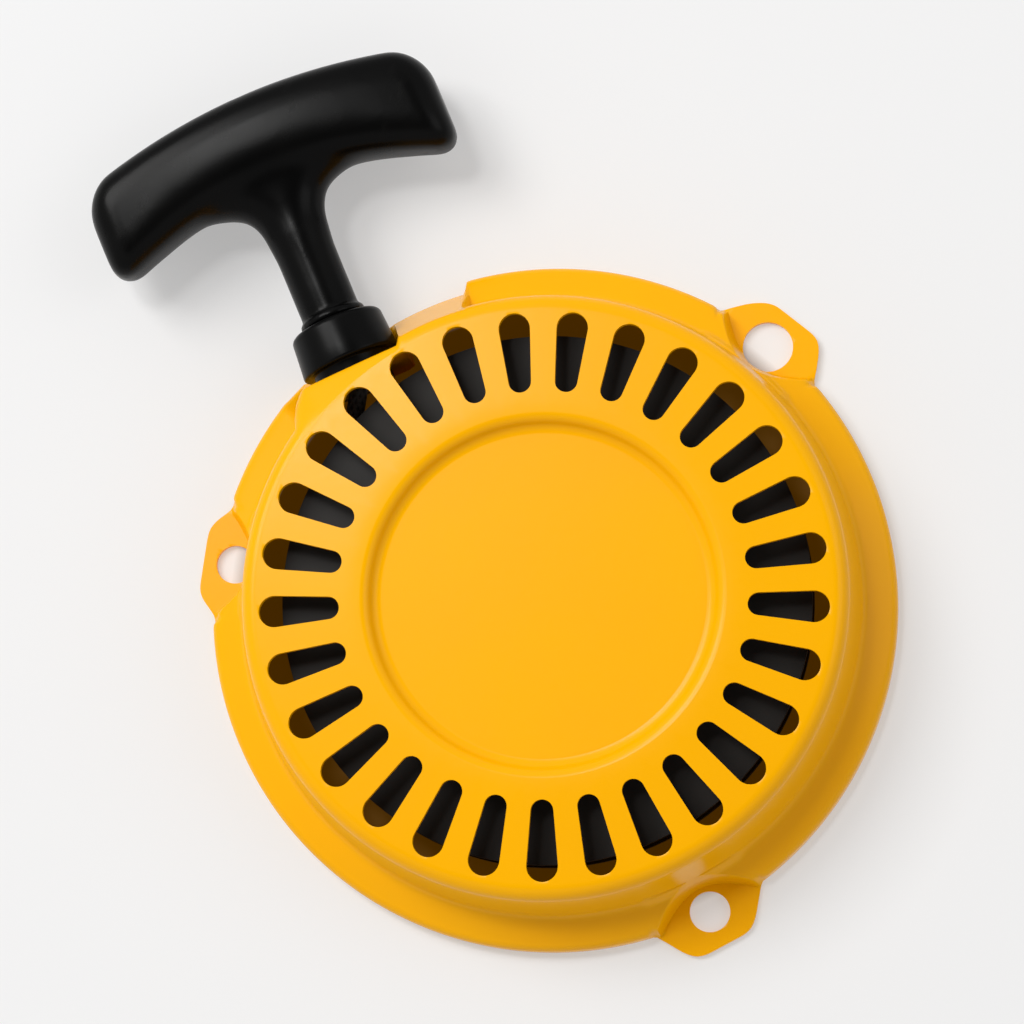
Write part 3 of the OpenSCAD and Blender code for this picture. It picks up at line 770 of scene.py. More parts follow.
@dataclass
class PressedCover:
    """The yellow housing: one pressed sheet with slots, lugs and a boss for the guide."""

    line: OutletLine
    top: float = 27.0
    sheet: float = 1.5
    rim_r: float = 75.0
    band_h: float = 3.5
    crown_r: float = 2.5
    crown_turn: float = 64.0
    shoulder: Point = (62.0, 22.8)
    shoulder_r: float = 3.5
    ring_drop: float = 0.7
    wall_foot: Point = (67.3, 10.2)
    skirt_foot: Point = (69.2, 7.7)
    recess_out: float = 39.5
    recess_in: float = 35.0
    recess_depth: float = 2.6
    ring_in: float = 42.0
    slots: int = 29
    slot_start: float = 8.2
    slot_out: Point = (58.0, 3.4)
    slot_in: Point = (46.35, 2.45)
    columns: int = 20
    side_steps: int = 9
    lug_angles: tuple[float, ...] = (49.5, 170.5, 296.0)
    lug_outlines: tuple[tuple[Point, ...], ...] = (
        (
            *((73.5, 38.0), (75.0, 39.4), (82.0, 43.5), (82.6, 44.8)),
            *((82.4, 53.2), (79.9, 56.0), (75.0, 59.6), (73.5, 62.0)),
        ),
        (
            *((74.0, 160.0), (75.0, 161.4), (78.3, 164.6), (78.6, 166.2)),
            *((78.6, 175.2), (78.3, 176.4), (75.0, 179.6), (74.0, 181.5)),
        ),
        (
            *((74.0, 285.0), (75.6, 286.6), (81.6, 290.2), (82.6, 292.0)),
            *((82.4, 299.7), (81.5, 301.2), (75.6, 305.4), (74.0, 307.5)),
        ),
    )
    lug_pockets: tuple[float, ...] = (67.2, 65.8, 67.2)
    lug_holes: tuple[Point, ...] = ((74.0, 5.5), (71.3, 4.2), (74.5, 4.4))
    pocket_half: float = 13.0
    pocket_ramp: float = 1.9
    sector: Point = (104.3, 136.5)
    drawn_rim: float = 72.6
    drawn_band: float = 2.5
    facet_u: float = 62.7
    facet_half: float = 11.3
    facet_fall: float = 0.46
    facet_ease: float = 1.2
    facet_edge: float = 0.9
    facet_foot: float = 0.8
    facet_turn: float = 0.3
    facet_floor: Point = (1.0, 1.2)
    facet_end: Point = (22.5, 25.5)
    boss_side: Point = (8.2, 1.8)
    boss_blend: float = 0.9
    stations: tuple[int, ...] = (8, 4, 5, 9, 4, 4)
    skirt_steps: int = 4
    step_steps: int = 6
    shoulder_turn: float = 8.0
    drawn_turn: float = 40.0
    foot_corner: Point = (0.35, 0.5)
    lip_play: float = 0.2
    pocket_blend: Point = (1.8, 1.0)
    lug_reach: float = 40.0
    lug_round: float = 0.3
    sector_blend: Point = (0.7, 3.0)
    seam_merge: float = 2e-5
    drill_sides: int = 64
    drill_depth: float = 8.0
    edge_mm: float = 0.42
    edge_angle: float = 48.0
    shade_angle: float = 50.0
    normal_weight: int = 60
    finish: PowderCoat = field(default_factory=PowderCoat)
    # The inner faces get a darker, redder coat: painted shade for the unlit inside of the housing,
    # not a thinner coat.
    inside: PowderCoat = field(
        default_factory=lambda: PowderCoat(
            "inner_coat_painted_shade", (0.80, 0.30, 0.0), (0.66, 0.24, 0.0), 0.6, 0.03
        )
    )

    def skirt_height(self, r: float) -> float:
        """Height of the plain skirt at radius r.

        Args:
            r: Distance from the middle of the housing.

        Returns:
            The height above the mounting face.
        """
        crown = (self.rim_r - self.crown_r, self.band_h)
        start = self.crown_start()
        if r >= start[0]:
            return crown[1] + math.sqrt(max(0.0, self.crown_r**2 - (r - crown[0]) ** 2))
        t = (r - self.skirt_foot[0]) / (start[0] - self.skirt_foot[0])
        return self.skirt_foot[1] + (start[1] - self.skirt_foot[1]) * t

    def crown_start(self) -> Point:
        """Where the skirt runs into the rounded crown of the rim.

        Returns:
            The (radius, height) of that place.
        """
        a = math.radians(self.crown_turn)
        return (
            self.rim_r - self.crown_r + self.crown_r * math.cos(a),
            self.band_h + self.crown_r * math.sin(a),
        )

    def ring_height(self, r: float) -> float:
        """Height of the slotted ring, which falls a little outward, at radius r."""
        return self.top - self.ring_drop * (r - self.ring_in) / (self.shoulder[0] - self.ring_in)

    def plain(self) -> list[Point]:
        """Outer profile from the shoulder to the rim's edge, away from lugs and outlet.

        Returns:
            (radius, height) points from the shoulder to the mounting face.
        """
        s, a, f, b, c, d = self.stations
        out = arc(self.shoulder, self.shoulder_r, 90, self.shoulder_turn, s)
        out += along(out[-1], self.wall_foot, a)
        aside, above = self.foot_corner
        corner = (self.wall_foot[0] + aside, self.skirt_foot[1] + above)
        out += bent(self.wall_foot, corner, self.skirt_foot, f)
        crown = (self.rim_r - self.crown_r, self.band_h)
        n = self.skirt_steps
        out += along(self.skirt_foot, self.crown_start(), n)
        out += arc(crown, self.crown_r, self.crown_turn, 0, b - n)[1:]
        step = (self.rim_r, self.sheet)
        out += along(out[-1], step, c)
        out += along(step, (self.rim_r, 0.0), d)
        return out

    def lug(self, index: int, off: float) -> list[Point]:
        """Outer profile through a lug, at off degrees from its middle.

        Args:
            index: The lug's place in lug_angles.
            off: Angle from the lug's middle, in degrees.

        Returns:
            (radius, height) points from the shoulder to the mounting face.
        """
        s, a, f, b, c, d = self.stations
        reach = self.lug_pockets[index]
        side = abs(math.tan(math.radians(off))) * self.rim_r
        edge = self.lug_edge(index, off)
        lip_r = reach + (self.rim_r - reach) * min(1.0, side / self.pocket_half) ** 2
        lip_r = min(lip_r, edge - self.pocket_ramp - self.lip_play)
        foot = (min(self.wall_foot[0], lip_r), self.wall_foot[1])
        out = arc(self.shoulder, self.shoulder_r, 90, self.shoulder_turn, s)
        out += along(out[-1], foot, a)
        for i in range(1, f + b + 1):
            r = foot[0] + (lip_r - foot[0]) * i / (f + b)
            drop = smooth(self.wall_foot[0], self.skirt_foot[0], r)
            skirt = self.skirt_height(max(r, self.skirt_foot[0]))
            out.append((r, foot[1] + (skirt - foot[1]) * drop))
        lip = out[-1]
        for i in range(1, c + 1):
            t = i / c
            fall = (self.sheet - lip[1]) * smooth(0, 1, t)
            out.append((lip[0] + self.pocket_ramp * t, lip[1] + fall))
        out += along(out[-1], (edge, self.sheet), d)
        return out

    def lug_edge(self, index: int, off: float) -> float:
        """Radius of a lug's outline at off degrees from its middle, its corners rounded.

        Args:
            index: The lug's place in lug_angles.
            off: Angle from the lug's middle, in degrees.

        Returns:
            The radius, never less than the rim's.
        """
        outline = self.lug_outlines[index]
        total = 0.0
        spread = [self.lug_round * i for i in range(-4, 5)]
        for shift in spread:
            azimuth = self.lug_angles[index] + off + shift
            azimuth = min(outline[-1][1] - 1e-6, max(outline[0][1], azimuth))
            for (r0, a0), (r1, a1) in zip(outline, outline[1:]):
                if a0 <= azimuth < a1:
                    to, back = math.radians(a1 - azimuth), math.radians(azimuth - a0)
                    whole = math.radians(a1 - a0)
                    below = r0 * math.sin(back) + r1 * math.sin(to)
                    total += r0 * r1 * math.sin(whole) / below
        return max(self.rim_r, total / len(spread))

    def drawn_in(self) -> list[Point]:
        """Outer profile of the sloping wall around the outlet.

        Returns:
            (radius, height) points from the shoulder to the mounting face.
        """
        s, a, f, b, c, d = self.stations
        out = arc(self.shoulder, self.shoulder_r, 90, self.drawn_turn, s)
        foot = (self.drawn_rim, self.drawn_band)
        out += along(out[-1], foot, a + f + b)
        for i in range(1, c + d + 1):
            out.append((self.drawn_rim, self.drawn_band * (1 - i / (c + d))))
        return out

    def facet(self, off: float) -> list[Point]:
        """Outer profile through the boss, at off degrees from the outlet's direction.

        Args:
            off: Angle from the outlet's direction, in degrees.

        Returns:
            (radius, height) points from the shoulder to the mounting face.
        """
        s, a, f, b, c, d = self.stations
        front = self.facet_u / math.cos(math.radians(off))
        slope, soft = self.facet_fall, self.facet_edge
        start = (self.shoulder[0], self.top - self.ring_drop)
        edge = (front, start[1] - (front - self.shoulder[0]) * slope)
        brink = (edge[0] - soft, edge[1] + soft * slope)
        out = [lerp(start, brink, (i / s) ** self.facet_ease) for i in range(s + 1)]
        turn = [(edge[0] - self.facet_turn * soft, edge[1]), (edge[0], edge[1] - HALF * soft)]
        foot = (front, self.drawn_band + self.facet_foot)
        out += turn
        out += along(turn[1], foot, a - 2)
        rim = lerp((self.drawn_rim, 0.0), (self.rim_r, 0.0), smooth(*self.facet_end, off))[0]
        floor = (max(rim - HALF, front + self.facet_floor[0]), self.drawn_band)
        corner = (front, self.drawn_band)
        inner = (front + self.facet_foot, self.drawn_band)
        out += bent(foot, corner, inner, f)
        out += along(inner, floor, b)
        down = (max(rim, front + self.facet_floor[1]), self.drawn_band - HALF)
        out += along(down, (down[0], 0.0), c + d)
        return out

    def section(self, azimuth: float) -> list[Point]:
        """Outer profile at azimuth, blended between the plain wall and its features.

        Args:
            azimuth: Direction from the middle of the housing, in degrees.

        Returns:
            (radius, height) points from the shoulder to the mounting face.
        """
        out = self.plain()

        def blend(other: list[Point], weight: float) -> list[Point]:
            """The current profile drawn towards other."""
            return [lerp(p, q, weight) for p, q in zip(out, other)]

        for i, middle in enumerate(self.lug_angles):
            off = (azimuth - middle + 180) % 360 - 180
            if abs(off) >= self.lug_reach:
                continue
            side = abs(math.tan(math.radians(off))) * self.rim_r
            outer, inner = self.pocket_blend
            weight = smooth(self.pocket_half + outer, self.pocket_half - inner, side)
            if weight > 0:
                out = blend(self.lug(i, off), weight)
        start, end = self.sector
        sharp, slow = self.sector_blend
        drawn = smooth(start - sharp, start + sharp, azimuth) * smooth(end, end - slow, azimuth)
        if drawn > 0:
            out = blend(self.drawn_in(), drawn)
        off = azimuth - self.line.azimuth
        low = math.degrees(math.atan((self.line.offset - self.facet_half) / self.facet_u))
        high = math.degrees(math.atan((self.line.offset + self.facet_half) / self.facet_u))
        foot, brow = self.boss_side
        if not low - self.boss_blend < off < high + foot:
            return out
        near = smooth(low - self.boss_blend, low, off)
        other = self.facet(off)
        mixed = []
        for k, (p, q) in enumerate(zip(out, other)):
            reach = high + foot + (brow - foot) * k / len(out)
            far = min(1.0, max(0.0, (reach - off) / (reach - high)))
            mixed.append(lerp(p, q, near * far))
        return mixed

    def _ring_point(self, r: float, degrees: float, z: float) -> Vector:
        """A place at radius r and azimuth degrees, in metres."""
        a = math.radians(degrees)
        return Vector((r * math.cos(a), r * math.sin(a), z)) * MM

    def _azimuths(self) -> list[float]:
        """Angles of the mesh columns all round, the last one on the first.

        Returns:
            The angles, in degrees.
        """
        count = self.slots * self.columns
        first = self.slot_start - 180 / self.slots
        return [first + i * 360 / count for i in range(count + 1)]

    def _wall(self) -> bpy.types.Object:
        """The shoulder, side wall, rim, lugs and boss.

        Returns:
            The object.
        """
        columns = []
        for angle in self._azimuths():
            azimuth = angle % 360
            columns.append([self._ring_point(r, azimuth, z) for r, z in self.section(azimuth)])
        rows = [list(row) for row in zip(*columns)]
        return wrapped("wall", rows)

    def _panel(self) -> bpy.types.Object:
        """The sunken panel and the curved step around it.

        Returns:
            The object.
        """
        run = self.recess_out - self.recess_in
        turn = 2 * math.degrees(math.atan(self.recess_depth / run))
        r = run / (2 * math.sin(math.radians(turn)))
        low = self.top - self.recess_depth
        profile = [(0.0, low), (self.recess_in * HALF, low)]
        profile += arc((self.recess_in, low + r), r, 270, 270 + turn, self.step_steps)
        profile += arc((self.recess_out, self.top - r), r, 90 + turn, 90, self.step_steps)[1:]
        profile.append((self.ring_in, self.top))
        turns = self._azimuths()
        return wrapped("panel", [[self._ring_point(p, a, z) for a in turns] for p, z in profile])

    def _slot_sector(self) -> bpy.types.Object:
        """One sector of the top ring around its slot, made from an open cylinder.

        Returns:
            The object.
        """
        half = 180 / self.slots
        n, m = self.columns, self.side_steps
        sweep = [half * (2 * i / n - 1) for i in range(n)]
        edge, across = self.shoulder[0], self.ring_in - self.shoulder[0]
        radii = [edge + across * i / m for i in range(m)]
        outline = [(edge, a) for a in sweep]
        outline += [(r, half) for r in radii]
        outline += [(self.ring_in, -a) for a in sweep]
        outline += [(r, -half) for r in reversed([*radii[1:], self.ring_in])]
        (xo, ro), (xi, ri) = self.slot_out, self.slot_in
        lean = math.degrees(math.asin((ro - ri) / (xo - xi)))
        outer = arc((xo, 0.0), ro, -90 - lean, 90 + lean, n)
        inner = arc((xi, 0.0), ri, 90 + lean, 270 - lean, n)
        hole = outer[:-1] + [lerp(outer[-1], inner[0], i / m) for i in range(m)]
        hole += inner[:-1] + [lerp(inner[-1], outer[0], i / m) for i in range(m)]
        loop = len(outline)
        bpy.ops.object.select_all(action="DESELECT")
        bpy.ops.mesh.primitive_cylinder_add(
            vertices=loop, radius=1, depth=2, end_fill_type="NOTHING"
        )
        obj = bpy.context.object
        for vertex in obj.data.vertices:
            turn = math.atan2(vertex.co.y, vertex.co.x) / math.tau * loop
            k = round(turn - loop / 4) % loop
            if vertex.co.z > 0:
                r, a = outline[k]
                vertex.co = self._ring_point(r, a, self.ring_height(r))
            else:
                x, y = hole[k]
                vertex.co = Vector((x, y, self.ring_height(math.hypot(x, y)))) * MM
        return obj

    def _ring(self) -> bpy.types.Object:
        """The flat top ring with all its slots.

        Returns:
            The object.
        """
        first = self._slot_sector()
        parts = []
        for i in range(self.slots):
            part = first.copy()
            part.data = first.data.copy()
            bpy.context.scene.collection.objects.link(part)
            angle = math.radians(self.slot_start + i * 360 / self.slots)
            part.data.transform(Matrix.Rotation(angle, 4, "Z"))
            parts.append(part)
        bpy.data.objects.remove(first)
        return joined("ring", parts)

    def _drill(self, obj: bpy.types.Object) -> None:
        """Cuts the lug holes.

        Args:
            obj: The cover, which is cut.
        """
        for angle, (place, r) in zip(self.lug_angles, self.lug_holes):
            bpy.ops.object.select_all(action="DESELECT")
            bpy.ops.mesh.primitive_cylinder_add(
                vertices=self.drill_sides,
                radius=r * MM,
                depth=self.drill_depth * MM,
                location=self._ring_point(place, angle, 0.0),
            )
            drill = bpy.context.object
            bpy.ops.object.transform_apply(location=True, rotation=True, scale=True)
            combine(obj, "DIFFERENCE", drill)

    def build(self) -> bpy.types.Object:
        """Models the cover, dresses it and sets it on the root body.

        Returns:
            The cover.
        """
        cover = joined("pressed_cover", [self._wall(), self._panel(), self._ring()])
        tidy(cover, merge=self.seam_merge)
        dress(cover, self.finish.build())
        # Second material, put on the inner faces by the solidify: painted shade for the inside of the
        # housing.
        cover.data.materials.append(self.inside.build())
        pressing = {
            "thickness": self.sheet * MM,
            "offset": -1.0,
            "use_even_offset": False,
            "material_offset": 1,
        }
        finished(cover, ("SOLIDIFY", pressing))
        self._drill(cover)
        finished(cover, bevel(self.edge_mm, self.edge_angle))
        shade(cover, self.shade_angle)
        finished(cover, ("WEIGHTED_NORMAL", {"keep_sharp": True, "weight": self.normal_weight}))
        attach(cover, "root")
        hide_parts("starter_housing")
        return cover


# ---------------------------------------------------------------- guide, handle and rope


def lathe(
    name: str, line: OutletLine, profile: Sequence[Point], sides: int = 96
) -> bpy.types.Object:
    """Turns a closed profile about the outlet line.

    Args:
        name: Name of the new object.
        line: The outlet line.
        profile: (radius, distance along the line) points of the closed outline.
        sides: Segments round the axis.

    Returns:
        The object.
    """
    return wrapped(name, [line.ring(u, r, r, sides) for r, u in [*profile, profile[0]]])


@dataclass
class RopeGuide:
    """The black collar that leads the rope through the wall."""

    line: OutletLine
    facet_u: float = 62.7
    gap: float = 2.4
    length: float = 9.8
    end_u: float = 59.2
    mouth_r: float = 10.4
    base_r: float = 11.0
    neck_r: float = 8.8
    groove_r: float = 7.7
    clip: Point = (60.1, 61.2)
    bore_r: float = 3.0
    seat: Point = (5.6, 3.4)
    socket: Point = (5.7, 6.0)
    lip: float = 1.5
    clip_play: float = 0.05
    neck_round: float = 0.4
    base_round: float = 0.7
    base_draft: Point = (0.25, 3.5)
    socket_round: float = 0.6
    floor_cut: float = 0.4
    bore_cut: float = 0.3
    finish: MouldedPlastic = field(
        default_factory=lambda: MouldedPlastic(
            "guide_plastic", (0.0018, 0.0018, 0.0018), (0.004, 0.0038, 0.0035), 0.30
        )
    )

    def build(self) -> bpy.types.Object:
        """Models the guide, dresses it and sets it on the root body.

        Returns:
            The guide.
        """
        base_u = self.facet_u + self.gap
        mouth = base_u + self.length
        inner = mouth - self.socket[1]
        throat = self.end_u + self.seat[1]
        neck, base, wide = self.neck_round, self.base_round, self.socket_round
        profile = [(self.groove_r, self.end_u), (self.groove_r, self.clip[1])]
        profile += [(self.neck_r, self.clip[1] + self.clip_play), (self.neck_r, base_u - neck)]
        profile += arc((self.neck_r + neck, base_u - neck), neck, 180, 90, 3)
        profile += arc((self.base_r - base, base_u + base), base, 270, 360, 5)
        profile.append((self.base_r - self.base_draft[0], base_u + self.base_draft[1]))
        profile += arc((self.mouth_r - self.lip, mouth - self.lip), self.lip, 4, 90, 7)
        profile += arc((self.socket[0] + wide, mouth - wide), wide, 90, 180, 4)
        profile.append((self.socket[0], inner + self.floor_cut))
        profile.append((self.socket[0] - self.floor_cut, inner))
        profile += [(self.bore_r + self.bore_cut, inner), (self.bore_r, inner - self.bore_cut)]
        profile += [(self.bore_r, throat), (self.seat[0], throat), (self.seat[0], self.end_u)]
        guide = lathe("rope_guide_collar", self.line, profile)
        shade(guide, SHADE_ANGLE)
        dress(guide, self.finish.build())
        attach(guide, "root")
        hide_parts("rope_guide")
        return guide


@dataclass
class PullHandle:
    """The T-handle: a bowed grip on a flared stem."""

    line: OutletLine
    mouth_u: float = 74.9
    top_u: float = 129.6
    half_width: float = 40.8
    thickness: float = 20.0
    bow: float = 0.0036
    under: Point = (108.7, 0.0056)
    corner_top: float = 7.5
    corner_under: float = 6.0
    stem_r: float = 6.6
    foot_r: float = 7.4
    nose: Point = (5.0, 4.5)
    knot_u: float = 123.1
    pocket_r: float = 6.0
    bore_r: float = 2.4
    voxel: float = 0.42
    lean: float = 0.016
    squareness: float = 3.3
    soft_stem: Point = (95.0, 101.0)
    soft_top: Point = (124.0, 112.0)
    soft_side: Point = (31.0, 21.0)
    soft_neck: Point = (82.0, 86.0)
    neck_share: float = 0.12
    side_bow: float = 0.0011
    corner_side: Point = (6.0, 0.9)
    steps: int = 72
    shade_angle: float = 60.0
    even: tuple[float, int] = (0.5, 5)
    melt: tuple[float, int] = (0.8, 150)
    foot_gap: float = 0.3
    foot_steps: tuple[Point, ...] = ((0.05, -0.3), (0.4, 0.0), (1.3, 0.0), (1.7, -0.3))
    waist: Point = (2.1, 4.0)
    waist_cut: float = 0.1
    flare: tuple[tuple[float, float, float], ...] = (
        *((92.0, 0.0, 6.6), (96.0, 0.4, 6.7), (99.0, 0.9, 6.8), (101.0, 1.6, 6.9)),
        *((102.8, 2.5, 7.0), (104.2, 3.8, 7.1), (105.2, 5.8, 7.2), (106.0, 8.6, 7.3)),
        *((107.0, 12.5, 7.4), (109.5, 14.5, 7.5), (114.0, 11.0, 7.6)),
    )
    pocket_floor: float = 1.5
    overrun: Point = (4.0, 8.0)
    finish: MouldedPlastic = field(
        default_factory=lambda: MouldedPlastic(
            "handle_plastic", (0.0018, 0.0018, 0.0018), (0.004, 0.0038, 0.0035), 0.27
        )
    )

    def _corner(self, a: float, r: float) -> float:
        """How far a rounded corner of radius r has cut in at distance a from the middle."""
        x = abs(a) - (self.half_width - r)
        return 0.0 if x <= 0 else r - math.sqrt(max(0.0, r * r - x * x))

    def _grip_ring(self, a: float, sides: int = 48) -> list[Vector]:
        """Cross-section of the grip at distance a from its middle.

        Args:
            a: Distance from the grip's middle.
            sides: Segments round the section.

        Returns:
            sides + 1 points, in metres; the last repeats the first.
        """
        tilt = self.lean * a
        top = self.top_u - self.bow * a * a - self._corner(a, self.corner_top) - tilt / 2
        low = self.under[0] - self.under[1] * a * a + self._corner(a, self.corner_under) + tilt
        r, share = self.corner_side
        half = self.thickness / 2 - self.side_bow * a * a - self._corner(a, r) * share
        mid, deep = (top + low) / 2, (top - low) / 2
        ring = []
        for i in range(sides + 1):
            t = math.tau * (i % sides) / sides
            c, s = math.cos(t), math.sin(t)
            power = 2 / self.squareness
            u = mid + deep * math.copysign(abs(c) ** power, c)
            z = half * math.copysign(abs(s) ** power, s)
            ring.append(self.line.at(u, a, z))
        return ring

    def _grip(self) -> bpy.types.Object:
        """The bowed bar.

        Returns:
            The object.
        """
        turns = [math.pi / 2 * (2 * i / self.steps - 1) for i in range(self.steps + 1)]
        places = [math.sin(t) * self.half_width for t in turns]
        return wrapped("grip", [self._grip_ring(a) for a in places], capped=True)

    def _stem(self) -> bpy.types.Object:
        """The stem with its nose, its foot and its flare into the grip.

        Returns:
            The object.
        """
        foot, waist = self.mouth_u + self.foot_gap, self.stem_r - self.waist_cut
        round_sizes = [(foot - self.nose[1], self.nose[0]), (foot, self.nose[0])]
        round_sizes += [(foot + u, self.foot_r + wider) for u, wider in self.foot_steps]
        round_sizes += [(foot + u, waist) for u in self.waist]
        sizes = [(u, r, r) for u, r in round_sizes]
        sizes += [(u, self.stem_r + wider, high) for u, wider, high in self.flare]
        return wrapped("stem", [self.line.ring(*size) for size in sizes], capped=True)

    def _drill(self, name: str, r: float, start: float, end: float) -> bpy.types.Object:
        """A round cutter along the outlet line, from start to end."""
        return wrapped(name, [self.line.ring(u, r, r) for u in (start, end)], capped=True)

    def build(self) -> bpy.types.Object:
        """Models the handle, dresses it and sets it on the handle body.

        Returns:
            The handle.
        """
        handle = self._grip()
        combine(handle, "UNION", self._stem())
        finished(
            handle,
            ("REMESH", {"mode": "VOXEL", "voxel_size": self.voxel * MM, "use_smooth_shade": True}),
            ("SMOOTH", {"factor": self.even[0], "iterations": self.even[1]}),
        )
        soft = handle.vertex_groups.new(name="soft")
        start = self.line.at(0)
        ahead = (self.line.at(1) - start).normalized()
        side = Vector((-ahead.y, ahead.x, 0.0))
        for vertex in handle.data.vertices:
            u = (vertex.co - start).dot(ahead) / MM
            a = abs((vertex.co - start).dot(side)) / MM
            weight = smooth(*self.soft_stem, u) * smooth(*self.soft_top, u)
            weight *= smooth(*self.soft_side, a)
            neck = self.neck_share * smooth(*self.soft_neck, u)
            soft.add([vertex.index], max(weight, neck), "REPLACE")
        factor, rounds = self.melt
        melting = {"factor": factor, "iterations": rounds, "vertex_group": "soft"}
        finished(handle, ("SMOOTH", melting))
        handle.vertex_groups.clear()
        floor = self.knot_u - self.pocket_floor
        past, before = self.overrun
        for cutter in (
            self._drill("pocket", self.pocket_r, floor, self.top_u + past),
            self._drill("bore", self.bore_r, self.mouth_u - before, self.knot_u),
        ):
            combine(handle, "DIFFERENCE", cutter)
        handle.name = "pull_handle"
        shade(handle, self.shade_angle)
        dress(handle, self.finish.build())
        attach(handle, "handle")
        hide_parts("handle_grip")
        return handle


@dataclass
class Rope:
    """The braided rope between the reel and the knot in the handle."""

    line: OutletLine
    radius: float = 2.0
    coil_r: float = 48.63
    bend_r: float = 10.0
    bend_end: float = 63.2
    knot_u: float = 123.1
    handle_u: float = 86.0
    sides: int = 20
    run_steps: int = 14
    run_start: float = 0.3
    bend_steps: int = 8
    draw_steps: int = 160
    shade_angle: float = 70.0

    def _tube(self, name: str, path: Sequence[Vector]) -> bpy.types.Object:
        """A round tube along a level path, with a UV map in metres along it.

        Args:
            name: Name of the new object.
            path: The tube's middle line, in metres.

        Returns:
            The tube.
        """
        rows, lengths = [], [0.0]
        for a, b in zip(path, path[1:]):
            lengths.append(lengths[-1] + (b - a).length)

        def side(i: int) -> Vector:
            """Level direction across the path at its point i."""
            ahead = (path[min(i + 1, len(path) - 1)] - path[max(i - 1, 0)]).normalized()
            return Vector((-ahead.y, ahead.x, 0.0))

        up = Vector((0, 0, 1))
        turns = [math.tau * (k % self.sides) / self.sides for k in range(self.sides + 1)]
        for i, place in enumerate(path):
            across = side(i)
            ring = [(across * math.cos(t) + up * math.sin(t)) * self.radius * MM for t in turns]
            rows.append([place + out for out in ring])
        tube = wrapped(name, rows, capped=True)
        layers = tube.data.uv_layers
        layer = layers[0] if layers else layers.new(name="along")
        for loop in tube.data.loops:
            co = tube.data.vertices[loop.vertex_index].co
            i = min(range(len(path)), key=lambda n: (path[n] - co).length_squared)
            out = co - path[i]
            turn = math.atan2(out.z, out.dot(side(i))) / math.tau
            layer.data[loop.index].uv = (lengths[i], turn)
        shade(tube, self.shade_angle)
        return tube

    def _run_path(self) -> list[Vector]:
        """The rope's middle line from the reel into the guide.

        Returns:
            Its points, in metres.
        """
        reach = math.hypot(self.bend_end, self.line.offset + self.bend_r)
        lean = math.atan2(self.bend_end, self.line.offset + self.bend_r)
        bend = lean - math.acos((self.coil_r + self.bend_r) / reach)
        leave = (self.coil_r * math.sin(bend), self.coil_r * math.cos(bend))

        def on_bend(a: float) -> Point:
            """Place on the bend where the rope still has to turn by a."""
            v = self.line.offset + self.bend_r * (1 - math.cos(a))
            return (self.bend_end - self.bend_r * math.sin(a), v)

        n, m = self.run_steps, self.bend_steps
        flat = [lerp(leave, on_bend(bend), (i + self.run_start) / n) for i in range(n)]
        flat += [on_bend(bend * (1 - i / m)) for i in range(m + 1)]
        return [self.line.at(u, v - self.line.offset) for u, v in flat]

    def build(self) -> list[bpy.types.Object]:
        """Models the rope's run and its drawn length, and dresses both.

        Returns:
            The run and the drawn length.
        """
        run = self._tube("rope_run_braid", self._run_path())
        dress(run, BraidedRope("braid_by_uv", Lay.BY_UV).build(self.line))
        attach(run, "root")
        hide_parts("rope_run")
        n, span = self.draw_steps, self.knot_u - self.bend_end
        path = [self.line.at(self.bend_end + span * i / n) for i in range(n + 1)]
        draw = self._tube("rope_draw_braid", path)
        dress(draw, BraidedRope("braid_along_outlet", Lay.ALONG_OUTLET).build(self.line))
        tuple(self.line.at(self.bend_end + 1))
        tuple(self.line.at(self.handle_u))
        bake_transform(draw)
        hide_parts("rope_tail")
        return [run, draw]


# ---------------------------------------------------------------- inner parts


class Metal(Enum):
    """Named finishes of the inner parts."""

    ZINC = PlatedSteel("zinc_plate", (0.66, 0.66, 0.64), (0.50, 0.50, 0.47))
    SPRING = PlatedSteel("spring_steel", (0.20, 0.21, 0.24), (0.11, 0.12, 0.15), 0.34)


@dataclass
class InnerParts:
    """The reel, its bearings, the springs, the pawls and the fixings."""

    line: OutletLine
    zinc: tuple[str, ...] = (
        "reel_post",
        "thrust_washer",
        "guide_clip",
        "rope_eyelet",
        "pawl_pins",
        "handle_insert",
    )
    zinc_soft: tuple[tuple[str, str, float], ...] = (
        ("pawl_a", "pawl_a", 0.25),
        ("pawl_b", "pawl_b", 0.25),
        ("friction_plate", "plate", 0.2),
        ("retaining_washer", "root", 0.2),
        ("centre_screw", "root", 0.3),
    )
    sprung: tuple[str, ...] = ("recoil_spring", "pawl_springs", "friction_spring")
    roped: tuple[str, ...] = ("rope_wound", "rope_reel_knot", "rope_handle_knot")
    reel_finish: MouldedPlastic = field(
        default_factory=lambda: MouldedPlastic(
            "reel_nylon", (0.022, 0.021, 0.020), (0.034, 0.032, 0.030), 0.5, 0.012
        )
    )

    def build(self) -> list[str]:
        """Dresses the inner parts.

        Returns:
            The names of the nodes and pieces dressed.
        """
        metal = {kind: kind.value.build() for kind in Metal}
        for name in self.zinc:
            dress(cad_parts[name], metal[Metal.ZINC])
        for name in self.sprung:
            dress(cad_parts[name], metal[Metal.SPRING])
        rope = BraidedRope("braid_wound", Lay.ALONG_OUTLET).build(self.line)
        for name in self.roped:
            dress(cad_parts[name], rope)
        dress(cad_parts["reel_bush"], SinteredBronze().build())
        for name, body, width in self.zinc_soft:
            piece = softened(name, width)
            dress(piece, metal[Metal.ZINC])
            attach(piece, body)
            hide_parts(name)
        reel = softened("rope_reel", 0.3)
        dress(reel, self.reel_finish.build())
        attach(reel, "reel")
        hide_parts("rope_reel")
        return [*self.zinc, *self.sprung, *self.roped, "reel_bush", "rope_reel"]


# ---------------------------------------------------------------- studio


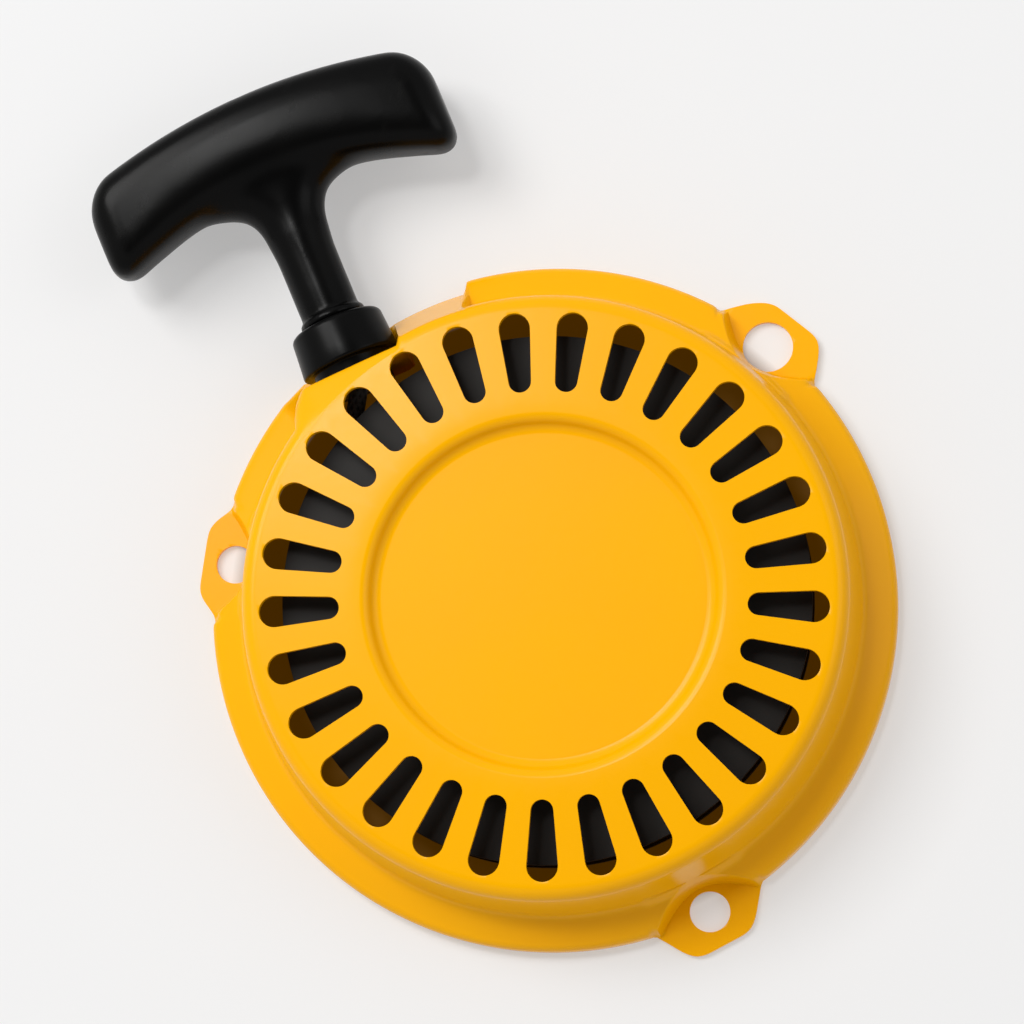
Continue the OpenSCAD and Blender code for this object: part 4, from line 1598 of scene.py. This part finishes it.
@dataclass
class Studio:
    """The pale floor, the soft lights and the camera."""

    eye: tuple[float, float, float] = (104.0, -133.0, 1081.0)
    ahead: tuple[float, float, float] = (-0.103, 0.141, -0.985)
    up: tuple[float, float, float] = (0.031, 0.990, 0.139)
    lens: float = 175.8
    sensor: float = 36.0
    far: float = 50.0
    floor_half: float = 4000.0
    floor_z: float = -0.0001
    ceiling: Point = (0.93, 0.80)
    ceiling_light: float = 0.02
    ring_light: float = 0.56
    lights: tuple[tuple, ...] = (
        ("key", (-1.3, 0.95, 1.85), 1.1, 34.5, (1.0, 0.99, 0.975)),
        ("sheen", (-0.52, 0.62, 2.1), 0.36, 11.0, (1.0, 1.0, 0.99)),
        ("right", (2.0, 0.4, 1.7), 1.4, 6.0, (0.98, 0.99, 1.0)),
    )

    def _camera(self) -> None:
        """Sets the camera above the starter, a little to its lower right."""
        ahead = Vector(self.ahead).normalized()
        up = Vector(self.up)
        up = (up - ahead * up.dot(ahead)).normalized()
        right = ahead.cross(up)
        data = bpy.data.cameras.new("camera")
        data.lens = self.lens
        data.sensor_width = self.sensor
        data.clip_end = self.far
        camera = bpy.data.objects.new("camera", data)
        bpy.context.scene.collection.objects.link(camera)
        turn = Matrix((right, up, -ahead)).transposed().to_4x4()
        camera.matrix_world = Matrix.Translation(Vector(self.eye) * MM) @ turn
        bpy.context.scene.camera = camera

    def _light(
        self, name: str, place: Sequence[float], size: float, power: float, tint: Colour
    ) -> None:
        """Adds a soft square light that faces the starter.

        Args:
            name: The light's name.
            place: Where it stands, in metres.
            size: Its side, in metres.
            power: Its power, in watts.
            tint: Its colour.
        """
        data = bpy.data.lights.new(name, "AREA")
        data.shape = "SQUARE"
        data.size = size
        data.energy = power
        data.color = tint
        light = bpy.data.objects.new(name, data)
        bpy.context.scene.collection.objects.link(light)
        light.location = place
        light.rotation_euler = (-Vector(place)).to_track_quat("-Z", "Y").to_euler()

    def build(self) -> None:
        """Sets up the floor, the lights, the world and the camera."""
        bpy.ops.object.select_all(action="DESELECT")
        bpy.ops.mesh.primitive_plane_add(size=2 * self.floor_half * MM, location=(0, 0, self.floor_z))
        floor = bpy.context.object
        floor.name = "floor"
        dress(floor, Backdrop().build())
        world = bpy.data.worlds.new("studio")
        world.use_nodes = True
        sky = Tree(world.node_tree)
        ahead = sky.node("ShaderNodeTexCoord").outputs["Generated"]
        height = sky.node("ShaderNodeSeparateXYZ", {}, {0: ahead}).outputs[2]
        ring = sky.ramp(height, *self.ceiling) * self.ring_light + self.ceiling_light
        glow = sky.node("ShaderNodeBackground", {}, {"Strength": ring})
        glow.inputs["Color"].default_value = (1.0, 1.0, 1.0, 1.0)
        sky.node("ShaderNodeOutputWorld", {}, {"Surface": glow.outputs[0]})
        scene = bpy.context.scene
        scene.world = world
        for light in self.lights:
            self._light(*light)
        scene.view_settings.view_transform = "Standard"
        scene.view_settings.look = "None"
        self._camera()


def report(name: str, made: object) -> None:
    """Logs one finished sub-assembly."""
    log.info("%s: %s", name, made)


def main() -> None:
    logging.basicConfig(level=logging.INFO, format="%(name)s %(message)s")
    line = OutletLine()
    report("cover", PressedCover(line).build().name)
    report("guide", RopeGuide(line).build().name)
    report("handle", PullHandle(line).build().name)
    report("rope", [piece.name for piece in Rope(line).build()])
    report("inner parts", InnerParts(line).build())
    Studio().build()


if __name__ == "__main__":
    main()
